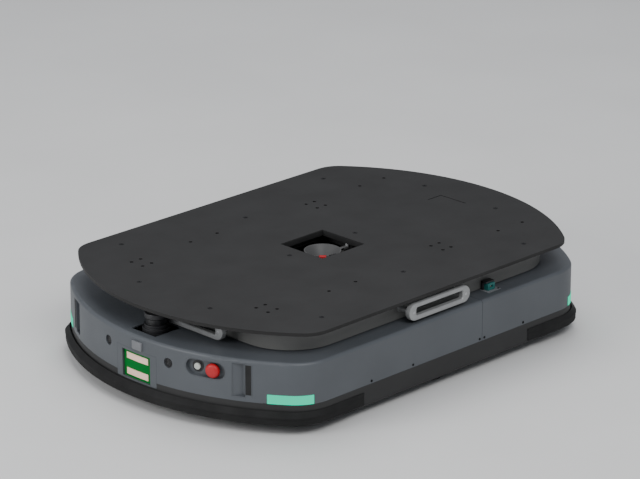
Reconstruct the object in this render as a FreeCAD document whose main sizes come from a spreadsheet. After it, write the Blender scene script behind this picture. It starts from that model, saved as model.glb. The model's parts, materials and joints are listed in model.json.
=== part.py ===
"""Autonomous mobile robot with a lifting deck: a parametric FreeCAD document.

Frame: +Z up, origin on the floor under the middle of the robot, +X from the charging end
towards the far end, +Y to the left of someone who looks along +X.  Lengths are millimetres.
"""

import FreeCAD
import Part
import math
import os
import re
import Sketcher

Vector = FreeCAD.Vector
Rotation = FreeCAD.Rotation

# ----------------------------------------------------------------------------------------
# Driving dimensions.  Every sub-part below is bound to these cells.
# ----------------------------------------------------------------------------------------
SIZES = {
    # deck: a strip cut by a circle, with rounded corners
    "deck_top": 236.0,
    "deck_thickness": 8.0,
    "deck_half_width": 396.0,
    "deck_end_radius": 574.0,
    "deck_corner_radius": 73.0,
    "deck_opening": 140.0,
    "deck_hole_radius": 4.5,
    "pad_pitch_length": 570.0,
    "pad_start": -385.0,
    "pad_half_spacing": 208.0,
    "pad_hole_length": 28.0,
    "pad_hole_width": 38.0,
    "pair_start": -209.5,
    "pair_spacing": 85.5,
    "pair_half_spacing": 230.0,
    "mark_depth": 1.0,
    "mark_width": 4.0,
    "mark_left": 405.0,
    "mark_right": 452.0,
    "mark_half_width": 42.0,
    "deck_screw_head": 5.5,
    "deck_screw_depth": 4.0,
    # lift frame under the deck
    "frame_half_length": 455.0,
    "frame_half_width": 352.0,
    "frame_corner_radius": 130.0,
    "frame_sheet": 4.0,
    "frame_rest_gap": 2.0,
    "rib_depth": 24.0,
    "rib_offset": 96.0,
    # covers
    "cover_half_width": 405.0,
    "cover_end_radius": 595.0,
    "cover_corner_radius": 104.0,
    "cover_wall": 3.0,
    "cover_bottom": 73.0,
    "cover_top": 172.0,
    "shoulder_radius": 8.0,
    "ledge_tuck": 8.0,
    "seam_place": 116.0,
    "seam_gap": 1.0,
    # pan
    "pan_bottom": 24.0,
    "pan_sheet": 4.0,
    # bumpers
    "bumper_bottom": 28.0,
    "bumper_step": 46.0,
    "bumper_top": 58.0,
    "bumper_side_gap": 0.5,
    "bumper_end_gap": 4.0,
    "bumper_side_reach": 7.0,
    "bumper_end_reach": 15.0,
    "bumper_corner_radius": 76.0,
    "bumper_inner_corner": 102.0,
    "bumper_lip": 2.5,
    "bumper_end_place": 335.0,
    "stud_place": 150.0,
    "stud_radius": 4.0,
    "stud_length": 26.0,
    # lift jacks
    "jack_place_long": 250.0,
    "jack_place_wide": 150.0,
    "screw_radius": 10.0,
    "journal_radius": 6.0,
    "running_gap": 0.05,
    "pulley_radius": 22.0,
    "pulley_flange": 3.0,
    "flange_sheet": 1.5,
    "belt_bottom": 48.0,
    "belt_width": 12.0,
    "belt_sheet": 2.0,
    "belt_gap": 0.3,
    "tube_radius": 23.0,
    "tube_bore": 12.0,
    "tube_bottom": 80.0,
    "nut_height": 24.0,
    "tube_flange": 45.0,
    "tube_flange_sheet": 6.0,
    "guide_radius": 30.0,
    "guide_plate": 110.0,
    "guide_plate_sheet": 6.0,
    "guide_plate_bottom": 64.0,
    "guide_top": 205.0,
    "guide_post_radius": 6.0,
    "guide_post_offset": 48.0,
    "screw_top": 190.0,
    "bearing_radius": 22.0,
    "motor_place": -290.0,
    "motor_radius": 33.0,
    "motor_height": 86.0,
    "motor_shaft_radius": 6.0,
    "float_gap": 0.3,
    # drive units
    "wheel_radius": 80.0,
    "tyre_depth": 14.0,
    "tyre_width": 45.0,
    "wheel_outer_face": 374.0,
    "hub_web": 16.0,
    "hub_boss_radius": 28.0,
    "stub_radius": 12.0,
    "drive_plate_sheet": 8.0,
    "drive_plate_gap": 7.0,
    "drive_plate_half_length": 62.0,
    "drive_plate_top": 140.0,
    "gear_flange_radius": 46.0,
    "gear_flange_sheet": 10.0,
    "gear_body_radius": 38.0,
    "gear_body_length": 104.0,
    "wheel_slot_margin": 8.0,
    # casters
    "caster_place_long": 430.0,
    "caster_place_wide": 240.0,
    "caster_radius": 32.0,
    "caster_width": 28.0,
    "caster_trail": 22.0,
    "caster_leg_sheet": 4.0,
    "caster_leg_gap": 1.5,
    "caster_crown": 70.0,
    "caster_crown_sheet": 6.0,
    "kingpin_radius": 7.0,
    "caster_axle_radius": 5.0,
    "caster_mount_bottom": 78.0,
    "caster_mount_sheet": 6.0,
    "caster_mount_half": 78.0,
    "caster_mount_half_width": 34.0,
    "caster_well_radius": 68.0,
    # scanners
    "scanner_place": 530.0,
    "notch_half": 40.0,
    "scanner_radius": 27.0,
    "scanner_bottom": 130.0,
    "scanner_top": 212.0,
    "scanner_window_bottom": 176.0,
    "scanner_window_height": 20.0,
    "scanner_window_inset": 3.0,
    "bracket_sheet": 4.0,
    "bracket_half": 32.0,
    # charging contacts
    "charge_half_width": 46.0,
    "charge_bottom": 63.0,
    "charge_top": 129.0,
    "bezel_half_width": 65.0,
    "bezel_bottom": 60.0,
    "bezel_top": 136.0,
    "bezel_depth": 5.7,
    "board_depth": 6.0,
    "board_sheet": 4.0,
    "board_half_width": 60.0,
    "contact_half_width": 35.0,
    "contact_height": 15.0,
    "contact_lower": 69.0,
    "contact_upper": 107.0,
    "contact_proud": 1.5,
    # docking sensor
    "dock_half_width": 15.0,
    "dock_bottom": 139.0,
    "dock_height": 20.0,
    "dock_proud": 4.0,
    # ultrasonic sensors
    "sonar_angle": 9.6,
    "sonar_height": 131.0,
    "sonar_radius": 11.5,
    "sonar_recess": 3.0,
    # control recess
    "panel_angle": 19.0,
    "panel_height": 136.5,
    "panel_half_length": 51.0,
    "panel_half_height": 21.5,
    "panel_wall": 2.0,
    "panel_depth": 12.0,
    "button_offset": 20.0,
    "stop_radius": 18.0,
    "stop_head": 12.0,
    "stop_travel": 4.0,
    "stop_neck_radius": 11.0,
    "start_radius": 9.5,
    "start_proud": 4.0,
    "start_travel": 2.0,
    # scoops beside the front panel
    "scoop_inner_angle": 25.2,
    "scoop_outer_angle": 28.4,
    "scoop_depth": 9.0,
    "scoop_bottom": 82.0,
    "scoop_top": 164.0,
    "scoop_slot_width": 7.0,
    "scoop_slot_bottom": 91.0,
    "scoop_slot_top": 158.0,
    # corner lights
    "light_height": 20.0,
    "light_start": 317.0,
    "light_end": 425.0,
    "light_proud": 0.6,
    # handles
    "handle_half_length": 104.0,
    "handle_reach": 45.0,
    "handle_bar": 9.0,
    "handle_bottom": 187.0,
    "handle_side_place": -20.0,
    "handle_end_place": -75.0,
    # service port
    "port_place": 175.0,
    "port_half": 14.0,
    "port_depth": 18.0,
    "port_back": 357.0,
    "cap_radius": 9.0,
    "cap_height": 7.0,
    # electronics
    "battery_near": 316.0,
    "battery_far": 470.0,
    "battery_half_width": 165.0,
    "battery_height": 125.0,
    "controller_near": 345.0,
    "controller_far": 475.0,
    "controller_half_width": 150.0,
    "controller_height": 90.0,
    "camera_half": 24.0,
    "camera_bottom": 128.0,
    "camera_height": 30.0,
    "camera_lens_radius": 11.0,
    "camera_post_offset": 40.0,
    # standoffs and screws
    "lip_bottom": 61.0,
    "lip_top": 88.0,
    "lip_sheet": 2.5,
    "cover_screw_radius": 3.0,
    "cover_screw_height": 79.0,
}

doc = FreeCAD.newDocument("mobile_robot")
sheet = doc.addObject("Spreadsheet::Sheet", "Sheet")
for row, (alias, number) in enumerate(SIZES.items(), start=1):
    sheet.set(f"A{row}", alias)
    sheet.set(f"B{row}", str(number))
    sheet.setAlias(f"B{row}", alias)
doc.recompute()

NODES = []


def cells(text):
    """The expression with each size name turned into a reference to its sheet cell."""
    return re.sub(r"[a-z][a-z_]+", lambda m: "Sheet." + m[0] if m[0] in SIZES else m[0], str(text))


def number(text):
    """The present value of an expression in size names."""
    probe = doc.addObject("App::FeaturePython", "Probe")
    probe.addProperty("App::PropertyFloat", "Value")
    probe.setExpression("Value", cells(text))
    probe.recompute()
    value = probe.Value
    doc.removeObject(probe.Name)
    return value


def bind(item, **expressions):
    """Binds properties of a document object to expressions in size names."""
    for name, text in expressions.items():
        item.setExpression(name, cells(text))
    return item


def place(item, at, rotation=None):
    """Puts an object at a point given by three expressions, with an optional fixed rotation."""
    if rotation is not None:
        item.Placement = FreeCAD.Placement(Vector(), rotation)
    for axis, text in zip("xyz", at):
        item.setExpression(f"Placement.Base.{axis}", cells(text))
    return item


def node(item, label):
    """Marks an object as the sub-part with this name."""
    item.Label = label
    NODES.append(item)
    return item


# ----------------------------------------------------------------------------------------
# Small builders for Part primitives
# ----------------------------------------------------------------------------------------
ALONG_X = Rotation(Vector(0, 1, 0), 90)
ALONG_Y = Rotation(Vector(1, 0, 0), -90)


def box(low, size, rotation=None):
    item = doc.addObject("Part::Box", "Box")
    bind(item, Length=size[0], Width=size[1], Height=size[2])
    return place(item, low, rotation)


def block(centre, half, bottom, height):
    """An upright block by its plan centre, half sizes, bottom and height."""
    low = (f"({centre[0]}) - ({half[0]})", f"({centre[1]}) - ({half[1]})", bottom)
    return box(low, (f"2 * ({half[0]})", f"2 * ({half[1]})", height))


def cylinder(base, radius, height, rotation=None):
    item = doc.addObject("Part::Cylinder", "Cylinder")
    bind(item, Radius=radius, Height=height)
    return place(item, base, rotation)


def fuse(*items):
    item = doc.addObject("Part::MultiFuse", "Fuse")
    item.Shapes = list(items)
    return item


def cut(base, *tools):
    item = doc.addObject("Part::Cut", "Cut")
    item.Base = base
    item.Tool = tools[0] if len(tools) == 1 else fuse(*tools)
    return item


def common(base, tool):
    item = doc.addObject("Part::Common", "Common")
    item.Base = base
    item.Tool = tool
    return item


def group(*items):
    """Separate solids that share one node."""
    item = doc.addObject("Part::Compound", "Group")
    item.Links = list(items)
    return item


# ----------------------------------------------------------------------------------------
# Sketches and bodies
# ----------------------------------------------------------------------------------------
def new_body(label):
    return doc.addObject("PartDesign::Body", label)


def new_sketch(body, role, height="0"):
    sketch = body.newObject("Sketcher::SketchObject", "Sketch")
    plane = [f for f in body.Origin.OriginFeatures if f.Role == role][0]
    sketch.AttachmentSupport = [(plane, "")]
    sketch.MapMode = "FlatFace"
    sketch.setExpression("AttachmentOffset.Base.z", cells(height))
    return sketch


def polygon(sketch, corners):
    """A closed polygon whose corners are pairs of expressions."""
    points = [Vector(number(x), number(y), 0) for x, y in corners]
    count = len(points)
    first = sketch.GeometryCount
    for i in range(count):
        sketch.addGeometry(Part.LineSegment(points[i], points[(i + 1) % count]), False)
    for i in range(count):
        follower = first + (i + 1) % count
        sketch.addConstraint(Sketcher.Constraint("Coincident", first + i, 2, follower, 1))
    for i, corner in enumerate(corners):
        for kind, text, value in zip(("DistanceX", "DistanceY"), corner, (points[i].x, points[i].y)):
            index = sketch.addConstraint(Sketcher.Constraint(kind, -1, 1, first + i, 1, value))
            sketch.setExpression(f"Constraints[{index}]", cells(text))
    return sketch


def circle(sketch, x, y, radius):
    centre = Vector(number(x), number(y), 0)
    geometry = sketch.addGeometry(Part.Circle(centre, Vector(0, 0, 1), number(radius)), False)
    for kind, text, value in (("DistanceX", x, centre.x), ("DistanceY", y, centre.y)):
        index = sketch.addConstraint(Sketcher.Constraint(kind, -1, 1, geometry, 3, value))
        sketch.setExpression(f"Constraints[{index}]", cells(text))
    index = sketch.addConstraint(Sketcher.Constraint("Radius", geometry, number(radius)))
    sketch.setExpression(f"Constraints[{index}]", cells(radius))
    return sketch


def outline(sketch, half_width, end_radius, corner_radius):
    """The robot's plan outline: two straight sides, two arcs about the middle, four corner arcs."""
    w, r, c = number(half_width), number(end_radius), number(corner_radius)
    cy = w - c
    cx = math.sqrt((r - c) ** 2 - cy ** 2)
    lean = math.atan2(cy, cx)
    half_turn, quarter = math.pi, math.pi / 2
    up = Vector(0, 0, 1)

    def arc(x, y, radius, start, end):
        return Part.ArcOfCircle(Part.Circle(Vector(x, y, 0), up, radius), start, end)

    sketch.addGeometry([
        arc(0, 0, r, -lean, lean),
        arc(cx, cy, c, lean, quarter),
        Part.LineSegment(Vector(cx, w, 0), Vector(-cx, w, 0)),
        arc(-cx, cy, c, quarter, half_turn - lean),
        arc(0, 0, r, half_turn - lean, half_turn + lean),
        arc(-cx, -cy, c, half_turn + lean, 3 * quarter),
        Part.LineSegment(Vector(-cx, -w, 0), Vector(cx, -w, 0)),
        arc(cx, -cy, c, 3 * quarter, 2 * half_turn - lean),
    ], False)
    for i in range(8):
        sketch.addConstraint(Sketcher.Constraint("Tangent", i, 2, (i + 1) % 8, 1))
    for end in (0, 4):
        sketch.addConstraint(Sketcher.Constraint("Coincident", end, 3, -1, 1))
    sketch.addConstraint(Sketcher.Constraint("Equal", 0, 4))
    for corner in (3, 5, 7):
        sketch.addConstraint(Sketcher.Constraint("Equal", 1, corner))
    sketch.addConstraint(Sketcher.Constraint("Horizontal", 2))
    sketch.addConstraint(Sketcher.Constraint("Horizontal", 6))
    for constraint, text in (
        (Sketcher.Constraint("Radius", 0, r), end_radius),
        (Sketcher.Constraint("Radius", 1, c), corner_radius),
        (Sketcher.Constraint("DistanceY", -1, 1, 2, 1, w), half_width),
        (Sketcher.Constraint("DistanceY", 6, 1, -1, 1, w), half_width),
    ):
        index = sketch.addConstraint(constraint)
        sketch.setExpression(f"Constraints[{index}]", cells(text))
    return sketch


def rounded(sketch, half_x, half_y, radius, middle=("0", "0")):
    """A rectangle about a middle point with four equal corner arcs."""
    hx, hy, r = number(half_x), number(half_y), number(radius)
    mx, my = number(middle[0]), number(middle[1])
    ix, iy = hx - r, hy - r
    quarter = math.pi / 2
    first = sketch.GeometryCount
    for i, (cx, cy) in enumerate(((ix, iy), (-ix, iy), (-ix, -iy), (ix, -iy))):
        base = Part.Circle(Vector(mx + cx, my + cy, 0), Vector(0, 0, 1), r)
        sketch.addGeometry(Part.ArcOfCircle(base, i * quarter, (i + 1) * quarter), False)
    ends = (((ix, hy), (-ix, hy)), ((-hx, iy), (-hx, -iy)), ((-ix, -hy), (ix, -hy)), ((hx, -iy), (hx, iy)))
    for (ax, ay), (bx, by) in ends:
        line = Part.LineSegment(Vector(mx + ax, my + ay, 0), Vector(mx + bx, my + by, 0))
        sketch.addGeometry(line, False)
    for i in range(4):
        sketch.addConstraint(Sketcher.Constraint("Tangent", first + i, 2, first + 4 + i, 1))
        sketch.addConstraint(Sketcher.Constraint("Tangent", first + 4 + i, 2, first + (i + 1) % 4, 1))
    for i in (1, 2, 3):
        sketch.addConstraint(Sketcher.Constraint("Equal", first, first + i))
    for constraint, text in (
        (Sketcher.Constraint("Radius", first, r), radius),
        (Sketcher.Constraint("DistanceX", -1, 1, first, 3, mx + ix), f"{middle[0]} + ({half_x}) - ({radius})"),
        (Sketcher.Constraint("DistanceY", -1, 1, first, 3, my + iy), f"{middle[1]} + ({half_y}) - ({radius})"),
        (Sketcher.Constraint("DistanceX", -1, 1, first + 2, 3, mx - ix), f"{middle[0]} - ({half_x}) + ({radius})"),
        (Sketcher.Constraint("DistanceY", -1, 1, first + 2, 3, my - iy), f"{middle[1]} - ({half_y}) + ({radius})"),
    ):
        index = sketch.addConstraint(constraint)
        sketch.setExpression(f"Constraints[{index}]", cells(text))
    return sketch


def stadium(sketch, half_length, radius, middle=("0", "0")):
    """A slot outline along the sketch's first axis."""
    r, half = number(radius), number(half_length) - number(radius)
    mx, my = number(middle[0]), number(middle[1])
    quarter = math.pi / 2
    up = Vector(0, 0, 1)
    first = sketch.GeometryCount
    sketch.addGeometry([
        Part.ArcOfCircle(Part.Circle(Vector(mx + half, my, 0), up, r), -quarter, quarter),
        Part.LineSegment(Vector(mx + half, my + r, 0), Vector(mx - half, my + r, 0)),
        Part.ArcOfCircle(Part.Circle(Vector(mx - half, my, 0), up, r), quarter, 3 * quarter),
        Part.LineSegment(Vector(mx - half, my - r, 0), Vector(mx + half, my - r, 0)),
    ], False)
    for i in range(4):
        sketch.addConstraint(Sketcher.Constraint("Tangent", first + i, 2, first + (i + 1) % 4, 1))
    sketch.addConstraint(Sketcher.Constraint("Equal", first, first + 2))
    run = f"({half_length}) - ({radius})"
    for constraint, text in (
        (Sketcher.Constraint("Radius", first, r), radius),
        (Sketcher.Constraint("DistanceX", -1, 1, first, 3, mx + half), f"{middle[0]} + {run}"),
        (Sketcher.Constraint("DistanceY", -1, 1, first, 3, my), middle[1]),
        (Sketcher.Constraint("DistanceX", -1, 1, first + 2, 3, mx - half), f"{middle[0]} - ({run})"),
    ):
        index = sketch.addConstraint(constraint)
        sketch.setExpression(f"Constraints[{index}]", cells(text))
    sketch.addConstraint(Sketcher.Constraint("Horizontal", first + 1))
    return sketch


def pad(body, sketch, length):
    feature = body.newObject("PartDesign::Pad", "Pad")
    feature.Profile = sketch
    bind(feature, Length=length)
    return feature


def pocket(body, sketch, length=None, upward=False):
    """Removes the sketch's area: below it, or above it if upward; through all without a length."""
    feature = body.newObject("PartDesign::Pocket", "Pocket")
    feature.Profile = sketch
    feature.Reversed = upward
    if length is None:
        feature.Type = "ThroughAll"
    else:
        bind(feature, Length=length)
    return feature


def spin(body, sketch):
    feature = body.newObject("PartDesign::Revolution", "Revolution")
    feature.Profile = sketch
    feature.ReferenceAxis = (sketch, ["V_Axis"])
    feature.Angle = 360
    return feature


def turned(label, corners, at, rotation=None):
    """A turned piece: the profile's corners are (radius, height along the axis)."""
    body = new_body(label)
    spin(body, polygon(new_sketch(body, "XZ_Plane"), corners))
    place(body, at, rotation)
    return body


def outline_solid(half_width, end_radius, corner_radius, bottom, height):
    """A prism on the robot's outline."""
    body = new_body("Prism")
    sketch = outline(new_sketch(body, "XY_Plane", bottom), half_width, end_radius, corner_radius)
    pad(body, sketch, height)
    return body


def inset(amount):
    """The cover's outline set inwards, or outwards for a negative amount."""
    return (
        f"cover_half_width - ({amount})",
        f"cover_end_radius - ({amount})",
        f"cover_corner_radius - ({amount})",
    )


CORNERS = [(-1, -1), (-1, 1), (1, -1), (1, 1)]
CORNER_NAMES = {(-1, -1): "front_right", (-1, 1): "front_left", (1, -1): "rear_right", (1, 1): "rear_left"}
SIDES = {-1: "right", 1: "left"}
ENDS = {-1: "front", 1: "rear"}


# ----------------------------------------------------------------------------------------
# Deck and lift frame
# ----------------------------------------------------------------------------------------
DECK_SCREWS = [(474, 118), (336, 333)]


def deck_holes(sketch):
    """Four pads of four bolt holes and four pairs of holes, repeated along the deck."""
    for step in (0, 1):
        shift = f"{step} * pad_pitch_length"
        for side in (-1, 1):
            for across in (-1, 1):
                for along in (-1, 1):
                    x = f"pad_start + {shift} + {along} * pad_hole_length / 2"
                    y = f"{side} * pad_half_spacing + {across} * pad_hole_width / 2"
                    circle(sketch, x, y, "deck_hole_radius")
            for along in (0, 1):
                x = f"pair_start + {shift} + {along} * pair_spacing"
                circle(sketch, x, f"{side} * pair_half_spacing", "deck_hole_radius")
    return sketch


def deck_screw_places():
    places = [(sx * x, sy * y) for x, y in DECK_SCREWS for sx, sy in CORNERS]
    places += [(0, 262), (0, -262), (109, 0), (-109, 0)]
    return places


def make_deck_plate():
    body = new_body("DeckBlank")
    sketch = new_sketch(body, "XY_Plane", "deck_top - deck_thickness")
    outline(sketch, "deck_half_width", "deck_end_radius", "deck_corner_radius")
    pad(body, sketch, "deck_thickness")
    opening = new_sketch(body, "XY_Plane", "deck_top")
    half = "deck_opening / 2"
    polygon(opening, [(f"-{half}", f"-{half}"), (half, f"-{half}"), (half, half), (f"-{half}", half)])
    pocket(body, opening)
    pocket(body, deck_holes(new_sketch(body, "XY_Plane", "deck_top")))
    screws = new_sketch(body, "XY_Plane", "deck_top")
    for x, y in deck_screw_places():
        circle(screws, str(x), str(y), "deck_screw_head + float_gap")
    pocket(body, screws, "deck_screw_depth")
    mark = new_sketch(body, "XY_Plane", "deck_top")
    polygon(mark, [
        ("mark_left", "mark_half_width"),
        ("mark_left", "mark_half_width - mark_width"),
        ("mark_right - mark_width", "mark_half_width - mark_width"),
        ("mark_right - mark_width", "-mark_half_width"),
        ("mark_right", "-mark_half_width"),
        ("mark_right", "mark_half_width"),
    ])
    pocket(body, mark, "mark_depth")
    return node(body, "deck_plate")


def make_deck_screws():
    heads = [
        cylinder((str(x), str(y), "deck_top - deck_screw_depth"), "deck_screw_head", "deck_screw_depth - float_gap")
        for x, y in deck_screw_places()
    ]
    return node(group(*heads), "deck_screws")


FRAME_TOP = "(deck_top - deck_thickness)"
FRAME_BOTTOM = "(cover_top + frame_rest_gap)"


def make_lift_frame():
    """An inverted tray with ribs, under the deck plate."""
    body = new_body("FrameShell")
    outer = new_sketch(body, "XY_Plane", FRAME_BOTTOM)
    rounded(outer, "frame_half_length", "frame_half_width", "frame_corner_radius")
    pad(body, outer, f"{FRAME_TOP} - {FRAME_BOTTOM}")
    inner = new_sketch(body, "XY_Plane", f"{FRAME_TOP} - frame_sheet")
    rounded(inner, "frame_half_length - frame_sheet", "frame_half_width - frame_sheet",
            "frame_corner_radius - frame_sheet")
    pocket(body, inner, f"{FRAME_TOP} - {FRAME_BOTTOM}")
    opening = new_sketch(body, "XY_Plane", FRAME_TOP)
    half = "deck_opening / 2"
    polygon(opening, [(f"-{half}", f"-{half}"), (half, f"-{half}"), (half, half), (f"-{half}", half)])
    pocket(body, opening)
    pocket(body, deck_holes(new_sketch(body, "XY_Plane", FRAME_TOP)))
    rib_bottom = f"{FRAME_TOP} - frame_sheet - rib_depth"
    ribs = []
    for side in (-1, 1):
        ribs.append(block(("0", f"{side} * rib_offset"), ("frame_half_length - frame_sheet", "frame_sheet / 2"),
                          rib_bottom, "rib_depth"))
        ribs.append(block((f"{side} * rib_offset", "0"), ("frame_sheet / 2", "rib_offset"), rib_bottom, "rib_depth"))
    return node(fuse(body, *ribs), "lift_frame")


# ----------------------------------------------------------------------------------------
# Jacks, belt and lift motor
# ----------------------------------------------------------------------------------------
def jack_place(corner):
    return f"{corner[0]} * jack_place_long", f"{corner[1]} * jack_place_wide"


BELT_TOP = "(belt_bottom + belt_width)"


def pulley_profile(core):
    """Half section of a flanged belt pulley round a shaft of radius core."""
    rim = "pulley_radius + pulley_flange"
    return [
        (core, "belt_bottom - flange_sheet"),
        (rim, "belt_bottom - flange_sheet"),
        (rim, "belt_bottom - float_gap"),
        ("pulley_radius", "belt_bottom - float_gap"),
        ("pulley_radius", f"{BELT_TOP} + float_gap"),
        (rim, f"{BELT_TOP} + float_gap"),
        (rim, f"{BELT_TOP} + flange_sheet"),
        (core, f"{BELT_TOP} + flange_sheet"),
    ]


def make_jack_screw(corner):
    x, y = jack_place(corner)
    foot = "pan_bottom + pan_sheet + float_gap"
    upper = pulley_profile("screw_radius")
    corners = [("0", foot), ("journal_radius", foot), ("journal_radius", "belt_bottom - flange_sheet")]
    corners += upper[1:] + [("screw_radius", "screw_top"), ("0", "screw_top")]
    return node(turned("jack_screw", corners, (x, y, "0")), "jack_screw_" + CORNER_NAMES[corner])


def make_jack_bearings():
    floor = "pan_bottom + pan_sheet"
    height = "belt_bottom - flange_sheet - float_gap"
    rings = []
    for corner in CORNERS:
        profile = [
            ("journal_radius + running_gap", floor),
            ("bearing_radius", floor),
            ("bearing_radius", f"{floor} + pan_sheet"),
            ("bearing_radius - pan_sheet", height),
            ("journal_radius + running_gap", height),
        ]
        rings.append(turned("bearing", profile, (*jack_place(corner), "0")))
    return node(group(*rings), "jack_bearings")


def make_jack_guides():
    """Each guide is a flanged sleeve on a plate with four posts that stand on the pan."""
    guides = []
    floor = "pan_bottom + pan_sheet"
    for corner in CORNERS:
        x, y = jack_place(corner)
        plate = block((x, y), ("guide_plate / 2", "guide_plate / 2"), "guide_plate_bottom", "guide_plate_sheet")
        sleeve = cylinder((x, y, "guide_plate_bottom"), "guide_radius", "guide_top - guide_plate_bottom")
        posts = [
            cylinder((f"{x} + {i} * guide_post_offset", f"{y} + {j} * guide_post_offset", floor),
                     "guide_post_radius", f"guide_plate_bottom - {floor} + guide_plate_sheet / 2")
            for i, j in CORNERS
        ]
        bore = cylinder((x, y, "guide_plate_bottom + guide_plate_sheet"), "tube_radius + running_gap", "guide_top")
        hole = cylinder((x, y, "guide_plate_bottom - guide_plate_sheet"), "screw_radius + float_gap", "guide_top")
        guides.append(cut(fuse(plate, sleeve, *posts), bore, hole))
    return node(group(*guides), "jack_guides")


def make_lift_tubes():
    """Tubes with a nut at the foot and a flange under the lift frame."""
    top = f"({FRAME_TOP} - frame_sheet)"
    profile = [
        ("screw_radius + running_gap", "tube_bottom"),
        ("tube_radius", "tube_bottom"),
        ("tube_radius", f"{top} - tube_flange_sheet"),
        ("tube_flange", f"{top} - tube_flange_sheet"),
        ("tube_flange", top),
        ("tube_bore", top),
        ("tube_bore", "tube_bottom + nut_height"),
        ("screw_radius + running_gap", "tube_bottom + nut_height"),
    ]
    tubes = [turned("tube", profile, (*jack_place(corner), "0")) for corner in CORNERS]
    return node(group(*tubes), "lift_tubes")


def make_lift_belt():
    """A flat loop round the four jack pulleys and the motor pulley."""
    path = doc.addObject("Sketcher::SketchObject", "BeltPath")
    polygon(path, [
        ("motor_place", "0"),
        ("-jack_place_long", "-jack_place_wide"),
        ("jack_place_long", "-jack_place_wide"),
        ("jack_place_long", "jack_place_wide"),
        ("-jack_place_long", "jack_place_wide"),
    ])
    loops = []
    for reach in ("pulley_radius + belt_gap + belt_sheet", "pulley_radius + belt_gap"):
        ring = doc.addObject("Part::Offset2D", "BeltLoop")
        ring.Source = path
        ring.Join = 0
        bind(ring, Value=reach)
        solid = doc.addObject("Part::Extrusion", "BeltSolid")
        solid.Base = ring
        solid.DirMode = "Custom"
        solid.Dir = Vector(0, 0, 1)
        solid.Solid = True
        bind(solid, LengthFwd="belt_width")
        place(solid, ("0", "0", "belt_bottom"))
        loops.append(solid)
    return node(cut(*loops), "lift_belt")


def make_lift_motor():
    seat = f"({BELT_TOP} + guide_plate_sheet)"
    case = cylinder(("motor_place", "0", f"{seat} + guide_plate_sheet"), "motor_radius", "motor_height")
    plate = block(("motor_place", "0"), ("motor_radius + 6", "motor_radius + 22"), seat, "guide_plate_sheet")
    floor = "pan_bottom + pan_sheet"
    legs = [
        block(("motor_place", f"{side} * (motor_radius + 19)"), ("motor_radius + 6", "3"), floor, f"{seat} - {floor}")
        for side in (-1, 1)
    ]
    window = block(("motor_place", "0"), ("motor_radius", "motor_radius + 30"),
                   "belt_bottom - 6", "belt_width + 10")
    hole = cylinder(("motor_place", "0", floor), "motor_shaft_radius + float_gap", "motor_height")
    frame = cut(fuse(plate, *legs), window)
    return node(cut(fuse(frame, case), hole), "lift_motor")


def make_lift_motor_pulley():
    upper = pulley_profile("motor_shaft_radius")
    top = f"{BELT_TOP} + guide_plate_sheet * 3"
    corners = [("0", "belt_bottom - flange_sheet")] + upper[1:]
    corners += [("motor_shaft_radius", top), ("0", top)]
    return node(turned("pulley", corners, ("motor_place", "0", "0")), "lift_motor_pulley")


# ----------------------------------------------------------------------------------------
# Tray, covers and bumpers
# ----------------------------------------------------------------------------------------
FLOOR = "(pan_bottom + pan_sheet)"


def ring(outer, inner, bottom, height):
    """A wall on the robot's outline between two insets."""
    outside = outline_solid(*inset(outer), bottom, height)
    inside = outline_solid(*inset(inner), f"({bottom}) - 1", f"({height}) + 2")
    return cut(outside, inside)


def front_block(half_width, bottom, top):
    """A cutter through the charging end, centred on the middle line."""
    low = ("-cover_end_radius - 20", f"-({half_width})", bottom)
    return box(low, ("60", f"2 * ({half_width})", f"({top}) - ({bottom})"))


def along_side(x, y, height, radius, length):
    """A cylinder along Y that starts at y and points towards +Y."""
    return cylinder((x, y, height), radius, length, ALONG_Y)


COVER_SCREWS = [-250, -115, 108, 124, 258]


def cover_screw_cylinders(radius, start, length):
    pieces = []
    for x in COVER_SCREWS:
        pieces.append(along_side(str(x), f"-({start}) - ({length})", "cover_screw_height", radius, length))
        pieces.append(along_side(str(x), start, "cover_screw_height", radius, length))
    return pieces


def stud_cylinder(end, side, radius):
    x = f"{end} * (cover_end_radius - 12) - stud_length / 2"
    return cylinder((x, f"{side} * stud_place", "(bumper_bottom + bumper_step) / 2"), radius, "stud_length", ALONG_X)


def make_tray():
    """The chassis tray: floor, outer wall and a lip behind the covers."""
    wall_top = "cover_bottom - float_gap"
    shell = outline_solid(*inset("0"), "pan_bottom", f"{wall_top} - pan_bottom")
    hollow = outline_solid(*inset("cover_wall"), FLOOR, "cover_top")
    lip = ring("cover_wall + float_gap", "cover_wall + float_gap + lip_sheet", "lip_bottom", "lip_top - lip_bottom")
    web = ring("cover_wall / 2", "cover_wall + float_gap + lip_sheet", "lip_bottom", f"{wall_top} - lip_bottom")
    tools = [front_block("bezel_half_width + float_gap", "bezel_bottom - float_gap", "lip_top + 5")]
    reach = "wheel_radius + wheel_slot_margin"
    for side in (-1, 1):
        middle = f"{side} * (wheel_outer_face - tyre_width / 2)"
        tools.append(block(("0", middle), (reach, "tyre_width / 2 + wheel_slot_margin"), "pan_bottom - 1", "pan_sheet + 2"))
        tools += [stud_cylinder(end, side, "stud_radius + float_gap") for end in (-1, 1)]
    for x, y in CORNERS:
        tools.append(cylinder((f"{x} * caster_place_long", f"{y} * caster_place_wide", "pan_bottom - 1"),
                              "caster_well_radius", "pan_sheet + 2"))
    tools += cover_screw_cylinders("cover_screw_radius + float_gap", "cover_half_width - 9", "10")
    tools += [scoop_sector(side, "float_gap") for side in (-1, 1)]
    return node(cut(fuse(cut(shell, hollow), lip, web), *tools), "chassis_tray")


def top_edges(feature, height):
    """Names of the edges that lie at a height."""
    names = []
    for i, edge in enumerate(feature.Shape.Edges, start=1):
        bounds = edge.BoundBox
        if abs(bounds.ZMin - height) < 1e-3 and abs(bounds.ZMax - height) < 1e-3:
            names.append(f"Edge{i}")
    return names


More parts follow.
